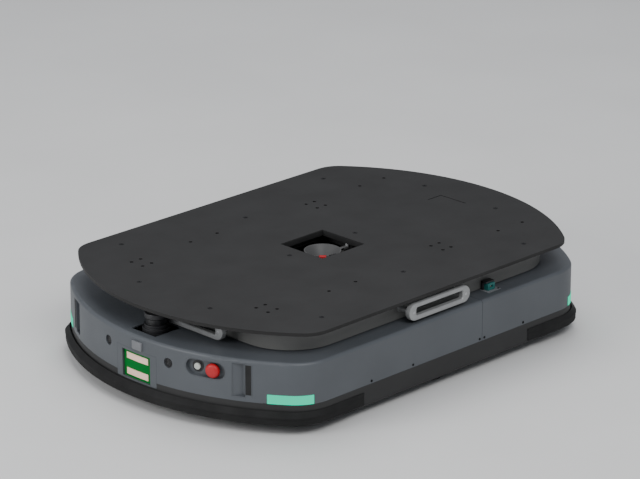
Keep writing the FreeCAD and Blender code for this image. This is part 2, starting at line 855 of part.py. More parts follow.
def shouldered(amount, bottom, top, radius):
    """A prism on the inset outline with a rounded upper edge."""
    body = outline_solid(*inset(amount), bottom, f"({top}) - ({bottom})")
    doc.recompute()
    prism = body.Tip
    feature = body.newObject("PartDesign::Fillet", "Shoulder")
    feature.Base = (prism, top_edges(prism, number(top)))
    bind(feature, Radius=radius)
    body.Tip = feature
    return body


def scoop_polygon(points):
    """Corners of a plan polygon from pairs of angle and radius at the charging end."""
    return [(f"-({r}) * cos(({a}) * 1deg)", f"-({r}) * sin(({a}) * 1deg)") for a, r in points]


def scoop_prism(points, bottom, top, side):
    body = new_body("ScoopPrism")
    corners = scoop_polygon([(f"{side} * ({a})", r) for a, r in points])
    pad(body, polygon(new_sketch(body, "XY_Plane", bottom), corners), f"({top}) - ({bottom})")
    return body


def scoop_sector(side, margin):
    inner, outer = f"scoop_inner_angle - ({margin}) / 10", f"scoop_outer_angle + ({margin}) / 10"
    low, high = "cover_end_radius - scoop_depth - 3", "cover_end_radius + 8"
    points = [(inner, low), (inner, high), (outer, high), (outer, low)]
    return scoop_prism(points, f"scoop_bottom - ({margin})", f"scoop_top + ({margin})", side)


SCOOP_SPLIT = "(scoop_outer_angle - 0.9)"


def make_scoops():
    """Insets whose faces slope inwards towards the corner windows."""
    pieces = []
    for side in (-1, 1):
        base = common(scoop_sector(side, "0"), outline_solid(*inset("0"), "cover_bottom", "cover_top"))
        hollow = scoop_prism([
            ("scoop_inner_angle + 0.2", "cover_end_radius + 9"),
            ("scoop_inner_angle + 0.2", "cover_end_radius - 1"),
            (SCOOP_SPLIT, "cover_end_radius - scoop_depth"),
            ("scoop_outer_angle - 0.2", "cover_end_radius - scoop_depth"),
            ("scoop_outer_angle - 0.2", "cover_end_radius + 9"),
        ], "scoop_bottom + 2", "scoop_top - 2", side)
        pieces.append(cut(base, hollow))
    return node(group(*pieces), "corner_scoops")


def make_scoop_windows():
    pieces = []
    for side in (-1, 1):
        pieces.append(scoop_prism([
            (f"{SCOOP_SPLIT} + 0.05", "cover_end_radius - scoop_depth + float_gap"),
            (f"{SCOOP_SPLIT} + 0.05", "cover_end_radius - scoop_depth + 2"),
            ("scoop_outer_angle - 0.25", "cover_end_radius - scoop_depth + 2"),
            ("scoop_outer_angle - 0.25", "cover_end_radius - scoop_depth + float_gap"),
        ], "scoop_slot_bottom", "scoop_slot_top", side))
    return node(group(*pieces), "corner_windows")


def radial(angle, side=-1):
    """Turns +Z to the outward direction at an angle from the charging end's middle line."""
    a = math.radians(angle)
    return Rotation(Vector(0, 0, 1), Vector(-math.cos(a), side * math.sin(a), 0))


def radial_at(angle, side, distance, height):
    """A point on the radius at an angle given by an expression."""
    return (f"-({distance}) * cos(({angle}) * 1deg)", f"{side} * ({distance}) * sin(({angle}) * 1deg)", height)


def sonar_cylinder(side, radius, start, length):
    rotation = radial(SIZES["sonar_angle"], side)
    return cylinder(radial_at("sonar_angle", side, start, "sonar_height"), radius, length, rotation)


def panel_rotation():
    """Sketch axes for the control panel: tangent, up, outward."""
    a = math.radians(SIZES["panel_angle"])
    outward = Vector(-math.cos(a), -math.sin(a), 0)
    tangent = Vector(0, 0, 1).cross(outward) * -1
    matrix = FreeCAD.Matrix(
        -tangent.x, 0, outward.x, 0,
        -tangent.y, 0, outward.y, 0,
        0, 1, 0, 0,
        0, 0, 0, 1)
    return FreeCAD.Placement(matrix).Rotation


def panel_prism(margin, start, length):
    """A stadium prism along the control panel's outward direction."""
    body = new_body("PanelPrism")
    sketch = stadium(new_sketch(body, "XY_Plane"), f"panel_half_length - ({margin})", f"panel_half_height - ({margin})")
    pad(body, sketch, length)
    place(body, radial_at("panel_angle", -1, start, "panel_height"), panel_rotation())
    return body


def panel_axis(offset, rise, start):
    """A point on an axis of the control panel, moved along the tangent towards the side."""
    x = f"-({start}) * cos(panel_angle * 1deg) + ({offset}) * sin(panel_angle * 1deg)"
    y = f"-({start}) * sin(panel_angle * 1deg) - ({offset}) * cos(panel_angle * 1deg)"
    return x, y, f"panel_height + ({rise})"


def cover_shell():
    outside = shouldered("0", "cover_bottom", "cover_top", "shoulder_radius")
    inside = shouldered("cover_wall", "cover_bottom - 1", "cover_top - cover_wall", "shoulder_radius - cover_wall")
    return cut(outside, inside)


def notch(end):
    return block((f"{end} * scanner_place", "0"), ("notch_half", "notch_half"), "cover_top - 10", "20")


def light_block(end, side, margin):
    """The region of one corner light."""
    low_x = f"light_end - ({margin})" if end > 0 else "-light_end - 200"
    low_y = f"light_start - ({margin})" if side > 0 else "-light_start - 200"
    size = f"200 + ({margin})"
    return box((low_x, low_y, "cover_bottom - 1"), (size, size, f"light_height + 1 + ({margin})"))


def guide_holes(end):
    return [
        cylinder((*jack_place((end, side)), "cover_top - 10"), "guide_radius + 1", "20")
        for side in (-1, 1)
    ]


def make_cover(end):
    """The cover's front or rear part, split at the seam."""
    if end < 0:
        region = box(("-700", "-500", "0"), ("700 + seam_place - seam_gap / 2", "1000", "400"))
    else:
        region = box(("seam_place + seam_gap / 2", "-500", "0"), ("700", "1000", "400"))
    tools = [notch(end)] + guide_holes(end)
    tools += [light_block(end, side, "float_gap") for side in (-1, 1)]
    tools += cover_screw_cylinders("cover_screw_radius + float_gap", "cover_half_width - 9", "10")
    if end < 0:
        half = "deck_opening / 2"
        tools.append(block(("0", "0"), (half, half), "cover_top - 10", "20"))
        tools.append(front_block("bezel_half_width + float_gap", "cover_bottom - 1", "bezel_top + float_gap"))
        tools.append(front_block("dock_half_width + float_gap", "dock_bottom - float_gap",
                                 "dock_bottom + dock_height + float_gap"))
        tools += [sonar_cylinder(s, "sonar_radius + float_gap", "cover_end_radius - 10", "20") for s in (-1, 1)]
        tools.append(panel_prism("-float_gap", "cover_end_radius - 20", "40"))
        tools += [scoop_sector(s, "float_gap") for s in (-1, 1)]
    return node(cut(common(cover_shell(), region), *tools), ENDS[end] + "_cover")


def make_corner_lights(end):
    pieces = []
    for side in (-1, 1):
        strip = ring("-light_proud", "cover_wall", "cover_bottom + float_gap", "light_height - float_gap")
        pieces.append(common(strip, light_block(end, side, "0")))
    return node(group(*pieces), "corner_lights_" + ENDS[end])


def make_cover_screws():
    return node(group(*cover_screw_cylinders("cover_screw_radius", "cover_half_width - 5", "5.5")), "cover_screws")


def bumper_outline(side_reach, end_reach, corner):
    return f"cover_half_width + ({side_reach})", f"cover_end_radius + ({end_reach})", corner


def make_bumper(end):
    """A band with a sloping upper edge, on two studs that slide in the tray's wall."""
    full = bumper_outline("bumper_side_reach", "bumper_end_reach", "bumper_corner_radius")
    lip = bumper_outline("bumper_side_gap + bumper_lip", "bumper_end_gap + bumper_lip", "bumper_inner_corner - 2")
    body = new_body("BumperBlank")
    lower = outline(new_sketch(body, "XY_Plane", "bumper_bottom"), *full)
    pad(body, lower, "bumper_step - bumper_bottom")
    base = outline(new_sketch(body, "XY_Plane", "bumper_step"), *full)
    top = outline(new_sketch(body, "XY_Plane", "bumper_top"), *lip)
    loft = body.newObject("PartDesign::AdditiveLoft", "Slope")
    loft.Profile = base
    loft.Sections = [top]
    loft.Ruled = True
    hollow = outline_solid(*bumper_outline("bumper_side_gap", "bumper_end_gap", "bumper_inner_corner"),
                           "bumper_bottom - 1", "bumper_top")
    if end < 0:
        region = box(("-700", "-500", "0"), ("700 - bumper_end_place", "1000", "200"))
    else:
        region = box(("bumper_end_place", "-500", "0"), ("700", "1000", "200"))
    band = common(cut(body, hollow), region)
    return node(fuse(band, *[stud_cylinder(end, side, "stud_radius") for side in (-1, 1)]), ENDS[end] + "_bumper")


# ----------------------------------------------------------------------------------------
# Charging contacts and front sensors
# ----------------------------------------------------------------------------------------
def front_band(half_width, outer, inner, bottom, top):
    """Part of an outline wall at the charging end."""
    band = ring(outer, inner, bottom, f"({top}) - ({bottom})")
    return common(band, box(("-700", f"-({half_width})", "0"), ("300", f"2 * ({half_width})", "400")))


def make_charge_bezel():
    frame = front_band("bezel_half_width", "0", "bezel_depth", "bezel_bottom", "bezel_top")
    return node(cut(frame, front_block("charge_half_width", "charge_bottom", "charge_top")), "charge_bezel")


def make_charge_board():
    back = "board_depth + board_sheet"
    return node(front_band("board_half_width", "board_depth", back, "bezel_bottom + 1", "bezel_top - 3"), "charge_board")


def make_charge_contacts():
    strips = []
    for bottom in ("contact_lower", "contact_upper"):
        strips.append(front_band("contact_half_width", "board_depth - contact_proud", "board_depth - 0.1",
                                 bottom, f"{bottom} + contact_height"))
    return node(group(*strips), "charge_contacts")


def make_dock_sensor():
    body = block(("-cover_end_radius", "0"), ("dock_proud", "dock_half_width"), "dock_bottom", "dock_height")
    bodies = [body, box(("-cover_end_radius + dock_proud", "-dock_half_width", "dock_bottom"),
                        ("10", "2 * dock_half_width", "dock_height"))]
    return node(fuse(*bodies), "dock_sensor")


def make_sonars():
    pieces = []
    for side in (-1, 1):
        face = "cover_end_radius - sonar_recess"
        body = sonar_cylinder(side, "sonar_radius", f"{face} - 26", "26")
        rim = sonar_cylinder(side, "sonar_radius - 2.5", f"{face} - 1.2", "3")
        pieces.append(cut(body, rim))
    return node(group(*pieces), "sonar_sensors")


def make_control_panel():
    floor = "(cover_end_radius - panel_depth)"
    blank = common(panel_prism("0", f"{floor} - panel_wall * 2", "60"),
                   outline_solid(*inset("0"), "cover_bottom", "cover_top"))
    hollow = panel_prism("panel_wall", floor, "60")
    rotation = radial(SIZES["panel_angle"])
    stop = cylinder(panel_axis("button_offset - 2", "-1.5", f"{floor} - 30"), "stop_neck_radius + float_gap", "60", rotation)
    start = cylinder(panel_axis("-button_offset", "2.5", f"{floor} - 30"), "start_radius + 1.5", "60", rotation)
    return node(cut(blank, hollow, stop, start), "control_panel")


PANEL_FLOOR = "(cover_end_radius - panel_depth)"


def on_panel(label, corners, offset, rise):
    at = panel_axis(offset, rise, PANEL_FLOOR)
    return turned(label, corners, at, radial(SIZES["panel_angle"]))


def make_stop_base():
    stem = "stop_neck_radius - 4"
    corners = [
        (f"{stem} + running_gap", "-24"),
        ("stop_neck_radius", "-24"),
        ("stop_neck_radius", "float_gap"),
        ("stop_neck_radius + 3", "float_gap"),
        ("stop_neck_radius + 2", "2"),
        (f"{stem} + running_gap", "2"),
    ]
    return node(on_panel("stop_base", corners, "button_offset - 2", "-1.5"), "stop_button_base")


def make_stop_head():
    stem = "stop_neck_radius - 4"
    low = "2 + stop_travel + 0.5"
    corners = [
        ("0", "-18"),
        (stem, "-18"),
        (stem, low),
        ("stop_radius", low),
        ("stop_radius", f"{low} + stop_head * 0.5"),
        ("stop_radius * 0.93", f"{low} + stop_head * 0.75"),
        ("stop_radius * 0.7", f"{low} + stop_head * 0.92"),
        ("stop_radius * 0.4", f"{low} + stop_head * 0.98"),
        ("0", f"{low} + stop_head"),
    ]
    return node(on_panel("stop_head", corners, "button_offset - 2", "-1.5"), "stop_button_head")


def make_start_base():
    corners = [
        ("start_radius + running_gap", "-16"),
        ("start_radius + 1.2", "-16"),
        ("start_radius + 1.2", "float_gap"),
        ("start_radius + 3", "float_gap"),
        ("start_radius + 2.4", "2"),
        ("start_radius + running_gap", "2"),
    ]
    return node(on_panel("start_base", corners, "-button_offset", "2.5"), "start_button_base")


def make_start_cap():
    corners = [
        ("0", "-8"),
        ("start_radius", "-8"),
        ("start_radius", "start_proud + 1"),
        ("start_radius - 1", "start_proud + 2"),
        ("0", "start_proud + 2"),
    ]
    return node(on_panel("start_cap", corners, "-button_offset", "2.5"), "start_button_cap")


# ----------------------------------------------------------------------------------------
# Scanners
# ----------------------------------------------------------------------------------------
def make_scanner(end):
    window_top = "scanner_window_bottom + scanner_window_height"
    deep = "scanner_radius - scanner_window_inset"
    corners = [
        ("0", "scanner_bottom"),
        ("scanner_radius", "scanner_bottom"),
        ("scanner_radius", "scanner_window_bottom"),
        (deep, "scanner_window_bottom"),
        (deep, window_top),
        ("scanner_radius", window_top),
        ("scanner_radius", "scanner_top - 2"),
        ("scanner_radius - 2", "scanner_top"),
        ("0", "scanner_top"),
    ]
    return node(turned("scanner", corners, (f"{end} * scanner_place", "0", "0")), "scanner_" + ENDS[end])


def make_scanner_brackets():
    pieces = []
    for end in (-1, 1):
        x = f"{end} * scanner_place"
        top = block((x, "0"), ("bracket_half - 4", "bracket_half"), "scanner_bottom - bracket_sheet", "bracket_sheet")
        legs = [
            block((x, f"{side} * (bracket_half - bracket_sheet / 2)"), ("bracket_half - 4", "bracket_sheet / 2"),
                  FLOOR, f"scanner_bottom - {FLOOR} - bracket_sheet / 2")
            for side in (-1, 1)
        ]
        pieces.append(fuse(top, *legs))
    return node(group(*pieces), "scanner_brackets")


# ----------------------------------------------------------------------------------------
# Drive units
# ----------------------------------------------------------------------------------------
WHEEL_INNER = "(wheel_outer_face - tyre_width)"


def wheel_turn(label, corners, side):
    """A turned piece about the wheel axis; heights run outwards from the robot's middle."""
    rotation = Rotation(Vector(0, 0, 1), Vector(0, side, 0))
    return turned(label, corners, ("0", "0", "wheel_radius"), rotation)


def make_drive_wheel(side):
    rim = "(wheel_radius - tyre_depth)"
    middle = f"({WHEEL_INNER} + tyre_width / 2)"
    outer = "wheel_outer_face"
    corners = [
        ("stub_radius", f"{WHEEL_INNER} - 3"),
        ("hub_boss_radius", f"{WHEEL_INNER} - 3"),
        ("hub_boss_radius", f"{middle} - hub_web / 2"),
        (f"{rim} - 8", f"{middle} - hub_web / 2"),
        (f"{rim} - 6", f"{WHEEL_INNER} + 2"),
        (rim, f"{WHEEL_INNER} + 2"),
        (rim, f"{outer} - 2"),
        (f"{rim} - 6", f"{outer} - 2"),
        (f"{rim} - 8", f"{middle} + hub_web / 2"),
        ("hub_boss_radius", f"{middle} + hub_web / 2"),
        ("hub_boss_radius", f"{outer} - 4"),
        ("0", f"{outer} - 4"),
        ("0", f"{outer} - 10"),
        ("stub_radius", f"{outer} - 10"),
    ]
    return node(wheel_turn("drive_wheel", corners, side), "drive_wheel_" + SIDES[side])


def make_tyre(side):
    rim = "(wheel_radius - tyre_depth)"
    corners = [
        (rim, WHEEL_INNER),
        ("wheel_radius - 3", WHEEL_INNER),
        ("wheel_radius", f"{WHEEL_INNER} + 4"),
        ("wheel_radius", "wheel_outer_face - 4"),
        ("wheel_radius - 3", "wheel_outer_face"),
        (rim, "wheel_outer_face"),
    ]
    return node(wheel_turn("tyre", corners, side), "tyre_" + SIDES[side])


def make_gearmotor(side):
    """Flange, gear case, motor and output stub in one turned piece."""
    seat = f"({WHEEL_INNER} - drive_plate_gap - drive_plate_sheet)"
    corners = [
        ("0", f"{seat} - gear_flange_sheet - gear_body_length"),
        ("gear_body_radius - 6", f"{seat} - gear_flange_sheet - gear_body_length"),
        ("gear_body_radius - 6", f"{seat} - gear_flange_sheet - 46"),
        ("gear_body_radius", f"{seat} - gear_flange_sheet - 46"),
        ("gear_body_radius", f"{seat} - gear_flange_sheet"),
        ("gear_flange_radius", f"{seat} - gear_flange_sheet"),
        ("gear_flange_radius", seat),
        ("stub_radius - running_gap", seat),
        ("stub_radius - running_gap", "wheel_outer_face - 10.5"),
        ("0", "wheel_outer_face - 10.5"),
    ]
    return node(wheel_turn("gearmotor", corners, side), "gearmotor_" + SIDES[side])


def make_drive_brackets():
    pieces = []
    for side in (-1, 1):
        seat = f"({WHEEL_INNER} - drive_plate_gap - drive_plate_sheet / 2)"
        middle = ("0", f"{side} * {seat}")
        plate = block(middle, ("drive_plate_half_length", "drive_plate_sheet / 2"), FLOOR, f"drive_plate_top - {FLOOR}")
        foot = block(("0", f"{side} * ({seat} - 30)"), ("drive_plate_half_length", "30"), FLOOR, "pan_sheet")
        bore = along_side("0", f"{side} * {seat} - 20", "wheel_radius", "stub_radius + 4", "40")
        pieces.append(cut(fuse(plate, foot), bore))
    return node(group(*pieces), "drive_brackets")


# ----------------------------------------------------------------------------------------
# Casters
# ----------------------------------------------------------------------------------------
def caster_place(corner):
    return f"{corner[0]} * caster_place_long", f"{corner[1]} * caster_place_wide"


def make_caster_fork(corner):
    x, y = caster_place(corner)
    crown_top = "caster_crown + caster_crown_sheet"
    pin = turned("kingpin", [
        ("0", "caster_crown"),
        ("kingpin_radius", "caster_crown"),
        ("kingpin_radius", "caster_mount_bottom + caster_mount_sheet + float_gap"),
        ("kingpin_radius + 5", "caster_mount_bottom + caster_mount_sheet + float_gap"),
        ("kingpin_radius + 4", "caster_mount_bottom + caster_mount_sheet + 6"),
        ("0", "caster_mount_bottom + caster_mount_sheet + 6"),
    ], (x, y, "0"))
    race = cylinder((x, y, crown_top), "kingpin_radius + 9", f"caster_mount_bottom - float_gap - ({crown_top})")
    leg_inner = "caster_width / 2 + caster_leg_gap"
    span = f"({leg_inner} + caster_leg_sheet)"
    crown = block((f"{x} + caster_trail / 2", y), ("caster_trail / 2 + 16", span), "caster_crown", "caster_crown_sheet")
    legs = []
    for side in (-1, 1):
        low_y = f"{y} + {side} * ({leg_inner} + caster_leg_sheet / 2) - caster_leg_sheet / 2"
        legs.append(box((f"{x} + caster_trail - 11", low_y, "caster_radius"),
                        ("22", "caster_leg_sheet", "caster_crown - caster_radius + 1")))
        legs.append(cylinder((f"{x} + caster_trail", low_y, "caster_radius"), "11", "caster_leg_sheet", ALONG_Y))
    axle = cylinder((f"{x} + caster_trail", f"{y} - {span} - 2", "caster_radius"), "caster_axle_radius",
                    f"2 * {span} + 4", ALONG_Y)
    return node(fuse(pin, race, crown, *legs, axle), "caster_fork_" + CORNER_NAMES[corner])


def make_caster_wheel(corner):
    x, y = caster_place(corner)
    half = "caster_width / 2"
    corners = [
        ("caster_axle_radius + running_gap", f"-{half}"),
        ("caster_radius * 0.42", f"-{half}"),
        ("caster_radius * 0.48", f"-{half} + 3"),
        ("caster_radius * 0.72", f"-{half} + 3"),
        ("caster_radius * 0.76", f"-{half} + 1"),
        ("caster_radius - 2", f"-{half} + 1"),
        ("caster_radius", f"-{half} + 4"),
        ("caster_radius", f"{half} - 4"),
        ("caster_radius - 2", f"{half} - 1"),
        ("caster_radius * 0.76", f"{half} - 1"),
        ("caster_radius * 0.72", f"{half} - 3"),
        ("caster_radius * 0.48", f"{half} - 3"),
        ("caster_radius * 0.42", half),
        ("caster_axle_radius + running_gap", half),
    ]
    at = (f"{x} + caster_trail", y, "caster_radius")
    return node(turned("caster_wheel", corners, at, ALONG_Y), "caster_wheel_" + CORNER_NAMES[corner])


def make_caster_mounts():
    pieces = []
    for corner in CORNERS:
        x, y = caster_place(corner)
        plate = block((x, y), ("caster_mount_half", "caster_mount_half_width"), "caster_mount_bottom",
                      "caster_mount_sheet")
        legs = [
            block((f"{x} + {side} * (caster_mount_half - 3)", y), ("3", "caster_mount_half_width"),
                  FLOOR, f"caster_mount_bottom - {FLOOR} + 1")
            for side in (-1, 1)
        ]
        bore = cylinder((x, y, FLOOR), "kingpin_radius + running_gap", "caster_mount_bottom + 20")
        pieces.append(cut(fuse(plate, *legs), bore))
    return node(group(*pieces), "caster_mounts")


# ----------------------------------------------------------------------------------------
# Handles, port, electronics and camera
# ----------------------------------------------------------------------------------------
def handle(at, quarter_turns):
    """Half a stadium loop that stands out from a wall of the lift frame."""
    body = new_body("Handle")
    sketch = new_sketch(body, "XY_Plane")
    stadium(sketch, "handle_half_length", "handle_reach")
    stadium(sketch, "handle_half_length - handle_bar", "handle_reach - handle_bar")
    pad(body, sketch, "handle_bar")
    wall = new_sketch(body, "XY_Plane", "handle_bar")
    far = "handle_half_length + 10"
    polygon(wall, [(f"-({far})", "float_gap"), (f"-({far})", "-float_gap - handle_reach - 10"),
                   (far, "-float_gap - handle_reach - 10"), (far, "float_gap")])
    pocket(body, wall)
    return place(body, at, Rotation(Vector(0, 0, 1), 90 * quarter_turns))


def make_handles():
    left = handle(("handle_side_place", "frame_half_width", "handle_bottom"), 0)
    right = handle(("handle_side_place", "-frame_half_width", "handle_bottom"), 2)
    front = handle(("-frame_half_length", "handle_end_place", "handle_bottom"), 1)
    return node(group(left, right, front), "deck_handles")


def make_service_port():
    outer = box(("port_place - port_half", "-port_back - port_depth", "cover_top + float_gap"),
                ("2 * port_half", "port_depth", "24"))
    socket = box(("port_place - port_half + 4", "-port_back - port_depth - 1", "cover_top + 6"),
                 ("2 * port_half - 8", "port_depth - 6", "12"))
    return node(cut(outer, socket), "service_port")


def make_port_cap():
    hood = box(("port_place - port_half - 6", "-port_back - port_depth - 2", "cover_top + float_gap"),
               ("5.5", "port_depth + 3", "27"))
    top = box(("port_place - port_half - 6", "-port_back - port_depth - 2", "cover_top + 25"),
              ("2 * port_half + 8", "port_depth + 3", "3"))
    return node(fuse(hood, top), "port_hood")


def make_battery():
    case = box(("battery_near", "-battery_half_width", FLOOR),
               ("battery_far - battery_near", "2 * battery_half_width", "battery_height"))
    lid = box(("battery_near - 2", "-battery_half_width - 2", f"{FLOOR} + battery_height - 14"),
              ("battery_far - battery_near + 4", "2 * battery_half_width + 4", "8"))
    return node(fuse(case, lid), "battery_pack")


def make_controller():
    case = box(("-controller_far", "-controller_half_width", FLOOR),
               ("controller_far - controller_near", "2 * controller_half_width", "controller_height"))
    fins = [
        box(("-controller_far + 8", f"-controller_half_width + 12 + 18 * {i}", f"{FLOOR} + controller_height - 1"),
            ("controller_far - controller_near - 16", "4", "11"))
        for i in range(16)
    ]
    return node(fuse(case, *fins), "control_unit")


def make_camera():
    case = block(("0", "0"), ("camera_half", "camera_half"), "camera_bottom", "camera_height")
    lens = cylinder(("0", "0", "camera_bottom + camera_height - 8"), "camera_lens_radius + 3", "12")
    return node(cut(fuse(case, lens), cylinder(("0", "0", "camera_bottom + camera_height - 4"),
                                               "camera_lens_radius + float_gap", "20")), "code_camera")


def make_camera_lens():
    return node(cylinder(("0", "0", "camera_bottom + camera_height - 4 + float_gap"), "camera_lens_radius", "6"),
                "code_camera_lens")


def make_camera_stand():
    plate = block(("0", "0"), ("camera_post_offset + 8", "camera_post_offset + 8"), "camera_bottom - 5", "5")
    posts = [
        cylinder((f"{x} * camera_post_offset", f"{y} * camera_post_offset", FLOOR), "5", f"camera_bottom - 2 - {FLOOR}")
        for x, y in CORNERS
    ]
    return node(fuse(plate, *posts), "camera_stand")


# ----------------------------------------------------------------------------------------
# Build, check and export
# ----------------------------------------------------------------------------------------
make_deck_plate()
make_deck_screws()
make_lift_frame()
make_handles()
make_lift_tubes()
for corner in CORNERS:
    make_jack_screw(corner)
make_jack_bearings()
make_jack_guides()
make_lift_belt()
make_lift_motor()
make_lift_motor_pulley()
make_tray()
for end in (-1, 1):
    make_cover(end)
    make_bumper(end)
    make_corner_lights(end)
    make_scanner(end)
make_cover_screws()
make_scanner_brackets()
make_scoops()
make_scoop_windows()
make_charge_bezel()
make_charge_board()
make_charge_contacts()
make_dock_sensor()
make_sonars()
make_control_panel()
make_stop_base()
make_stop_head()
make_start_base()
make_start_cap()
make_drive_brackets()
for side in (-1, 1):
    make_drive_wheel(side)
    make_tyre(side)
    make_gearmotor(side)
for corner in CORNERS:
    make_caster_fork(corner)
    make_caster_wheel(corner)
make_caster_mounts()
make_service_port()
make_port_cap()
make_battery()
make_controller()
make_camera()
make_camera_lens()
make_camera_stand()

doc.recompute()
problems = [o.Label for o in doc.Objects if "Invalid" in o.State or "Error" in o.State]
if problems:
    raise RuntimeError("these objects did not build: " + ", ".join(problems))
os.makedirs("parts", exist_ok=True)
for item in NODES:
    shape = item.Shape
    if shape.isNull() or not shape.isValid() or not shape.Solids:
        raise RuntimeError(item.Label + " is not a valid solid")
    shape.exportStep(os.path.join("parts", item.Label + ".step"))
    print(item.Label, len(shape.Solids), [round(v) for v in (
        shape.BoundBox.XMin, shape.BoundBox.XMax, shape.BoundBox.YMin, shape.BoundBox.YMax,
        shape.BoundBox.ZMin, shape.BoundBox.ZMax)])
print(len(NODES), "sub-parts")
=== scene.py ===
"""Looks for a lifting mobile robot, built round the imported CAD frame. Lengths are in metres."""

import json
import math

import bmesh
import bpy
from mathutils import Matrix, Vector


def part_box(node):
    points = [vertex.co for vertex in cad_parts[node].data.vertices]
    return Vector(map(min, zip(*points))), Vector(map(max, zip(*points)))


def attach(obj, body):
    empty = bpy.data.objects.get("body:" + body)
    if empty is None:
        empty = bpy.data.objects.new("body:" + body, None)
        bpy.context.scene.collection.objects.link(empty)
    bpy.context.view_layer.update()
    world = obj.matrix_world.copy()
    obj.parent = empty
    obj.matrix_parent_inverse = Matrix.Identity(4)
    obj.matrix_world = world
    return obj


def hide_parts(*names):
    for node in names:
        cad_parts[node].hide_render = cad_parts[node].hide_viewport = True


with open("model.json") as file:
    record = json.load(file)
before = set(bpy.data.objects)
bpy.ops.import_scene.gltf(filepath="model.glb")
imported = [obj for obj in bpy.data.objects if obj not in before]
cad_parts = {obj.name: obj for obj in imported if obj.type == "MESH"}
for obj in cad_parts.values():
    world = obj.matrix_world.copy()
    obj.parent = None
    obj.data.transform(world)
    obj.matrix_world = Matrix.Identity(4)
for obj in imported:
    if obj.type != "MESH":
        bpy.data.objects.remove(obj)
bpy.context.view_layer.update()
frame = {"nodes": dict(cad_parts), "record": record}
nodes = frame["nodes"]

DECK_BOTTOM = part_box("deck_plate")[0][2]
DECK_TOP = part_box("deck_plate")[1][2]
COVER_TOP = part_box("front_cover")[1][2]


# ----------------------------------------------------------------------------------------
# Materials
# ----------------------------------------------------------------------------------------
class Finish:
    """A node material with the few parts that every finish here shares."""

    def __init__(self, name, colour, roughness, metallic=0.0):
        self.material = bpy.data.materials.new(name)
        self.material.use_nodes = True
        self.tree = self.material.node_tree
        self.shader = self.tree.nodes["Principled BSDF"]
        self.colour = colour
        self.set("Roughness", roughness)
        self.set("Metallic", metallic)
        self.place = self.add("ShaderNodeTexCoord").outputs["Object"]

    def add(self, kind):
        return self.tree.nodes.new(kind)

    def link(self, source, target):
        self.tree.links.new(source, target)

    def set(self, socket, value):
        """Gives one of the shader's sockets a constant value."""
        self.shader.inputs[socket].default_value = value
        return self

    def noise(self, scale, detail, stretch=(1, 1, 1)):
        mapping = self.add("ShaderNodeMapping")
        mapping.inputs["Scale"].default_value = stretch
        self.link(self.place, mapping.inputs["Vector"])
        noise = self.add("ShaderNodeTexNoise")
        noise.inputs["Scale"].default_value = scale
        noise.inputs["Detail"].default_value = detail
        self.link(mapping.outputs["Vector"], noise.inputs["Vector"])
        return noise.outputs["Fac"]

    def ramp(self, value, low, high):
        """Maps a noise value to colours or greys between two stops."""
        ramp = self.add("ShaderNodeValToRGB")
        for element, (position, colour) in zip(ramp.color_ramp.elements, (low, high)):
            element.position = position
            element.color = (*colour, 1)
        self.link(value, ramp.inputs["Fac"])
        return ramp.outputs["Color"]

    def mottled(self, scale, spread, detail=5.0):
        """Colour that varies a little about the finish's own colour."""
        darker = [c * (1 - spread) for c in self.colour]
        lighter = [min(1, c * (1 + spread)) for c in self.colour]
        colour = self.ramp(self.noise(scale, detail), (0.35, darker), (0.65, lighter))
        self.link(colour, self.shader.inputs["Base Color"])
        return self

    def uneven(self, scale, low, high, stretch=(1, 1, 1)):
        """Roughness that varies between two values."""
        grey = self.ramp(self.noise(scale, 3.0, stretch), (0.3, [low] * 3), (0.7, [high] * 3))
        self.link(grey, self.shader.inputs["Roughness"])
        return self

    def bumped(self, scale, depth, strength, stretch=(1, 1, 1)):
        """A fine surface texture whose depth is in metres."""
        bump = self.add("ShaderNodeBump")
        bump.inputs["Distance"].default_value = depth
        bump.inputs["Strength"].default_value = strength
        self.link(self.noise(scale, 2.0, stretch), bump.inputs["Height"])
        self.link(bump.outputs["Normal"], self.shader.inputs["Normal"])
        return self


def powder_coat(name, colour, roughness, shine=0.5):
    """Sprayed paint with a fine orange-peel surface."""
    finish = Finish(name, colour, roughness).mottled(7, 0.06)
    finish.uneven(9, roughness - 0.04, roughness + 0.06).set("Specular IOR Level", shine)
    return finish.bumped(900, 0.0002, 0.35).material


def moulded(name, colour, roughness):
    """Moulded plastic with a fine grain."""
    finish = Finish(name, colour, roughness).mottled(20, 0.08)
    finish.uneven(30, roughness - 0.05, roughness + 0.08)
    return finish.bumped(1600, 0.0001, 0.3).material


def rubber(name, colour):
    """Matt rubber with a little dust."""
    finish = Finish(name, colour, 0.75).mottled(14, 0.25, 8.0)
    finish.uneven(18, 0.68, 0.85).set("Specular IOR Level", 0.35)
    return finish.bumped(700, 0.0003, 0.4).material


def machined(name, colour, roughness):
    """Metal with fine tool marks round its upright axis."""
    marks = (1, 1, 30)
    finish = Finish(name, colour, roughness, 1.0).mottled(40, 0.06)
    finish.uneven(60, roughness - 0.08, roughness + 0.1, marks)
    return finish.bumped(300, 0.0001, 0.25, marks).material


def anodised(name, colour, roughness, metallic):
    """A blasted and coated light metal with a fine even grain."""
    finish = Finish(name, colour, roughness, metallic).mottled(30, 0.05)
    finish.uneven(45, roughness - 0.05, roughness + 0.1)
    return finish.bumped(1400, 0.0001, 0.3).material


def glossy(name, colour, roughness):
    """Smooth plastic under a thin clear coat."""
    finish = Finish(name, colour, roughness).mottled(12, 0.05)
    finish.uneven(25, roughness, roughness + 0.08)
    return finish.set("Coat Weight", 0.15).set("Coat Roughness", 0.15).material


def light_strip(name, colour):
    """A frosted strip lit from behind by a row of lamps."""
    finish = Finish(name, (0.0, 0.03, 0.02), 0.7).mottled(60, 0.12).bumped(900, 0.0001, 0.3)
    finish.set("Specular IOR Level", 0.1)
    return finish.set("Emission Color", (*colour, 1)).set("Emission Strength", 0.9).material


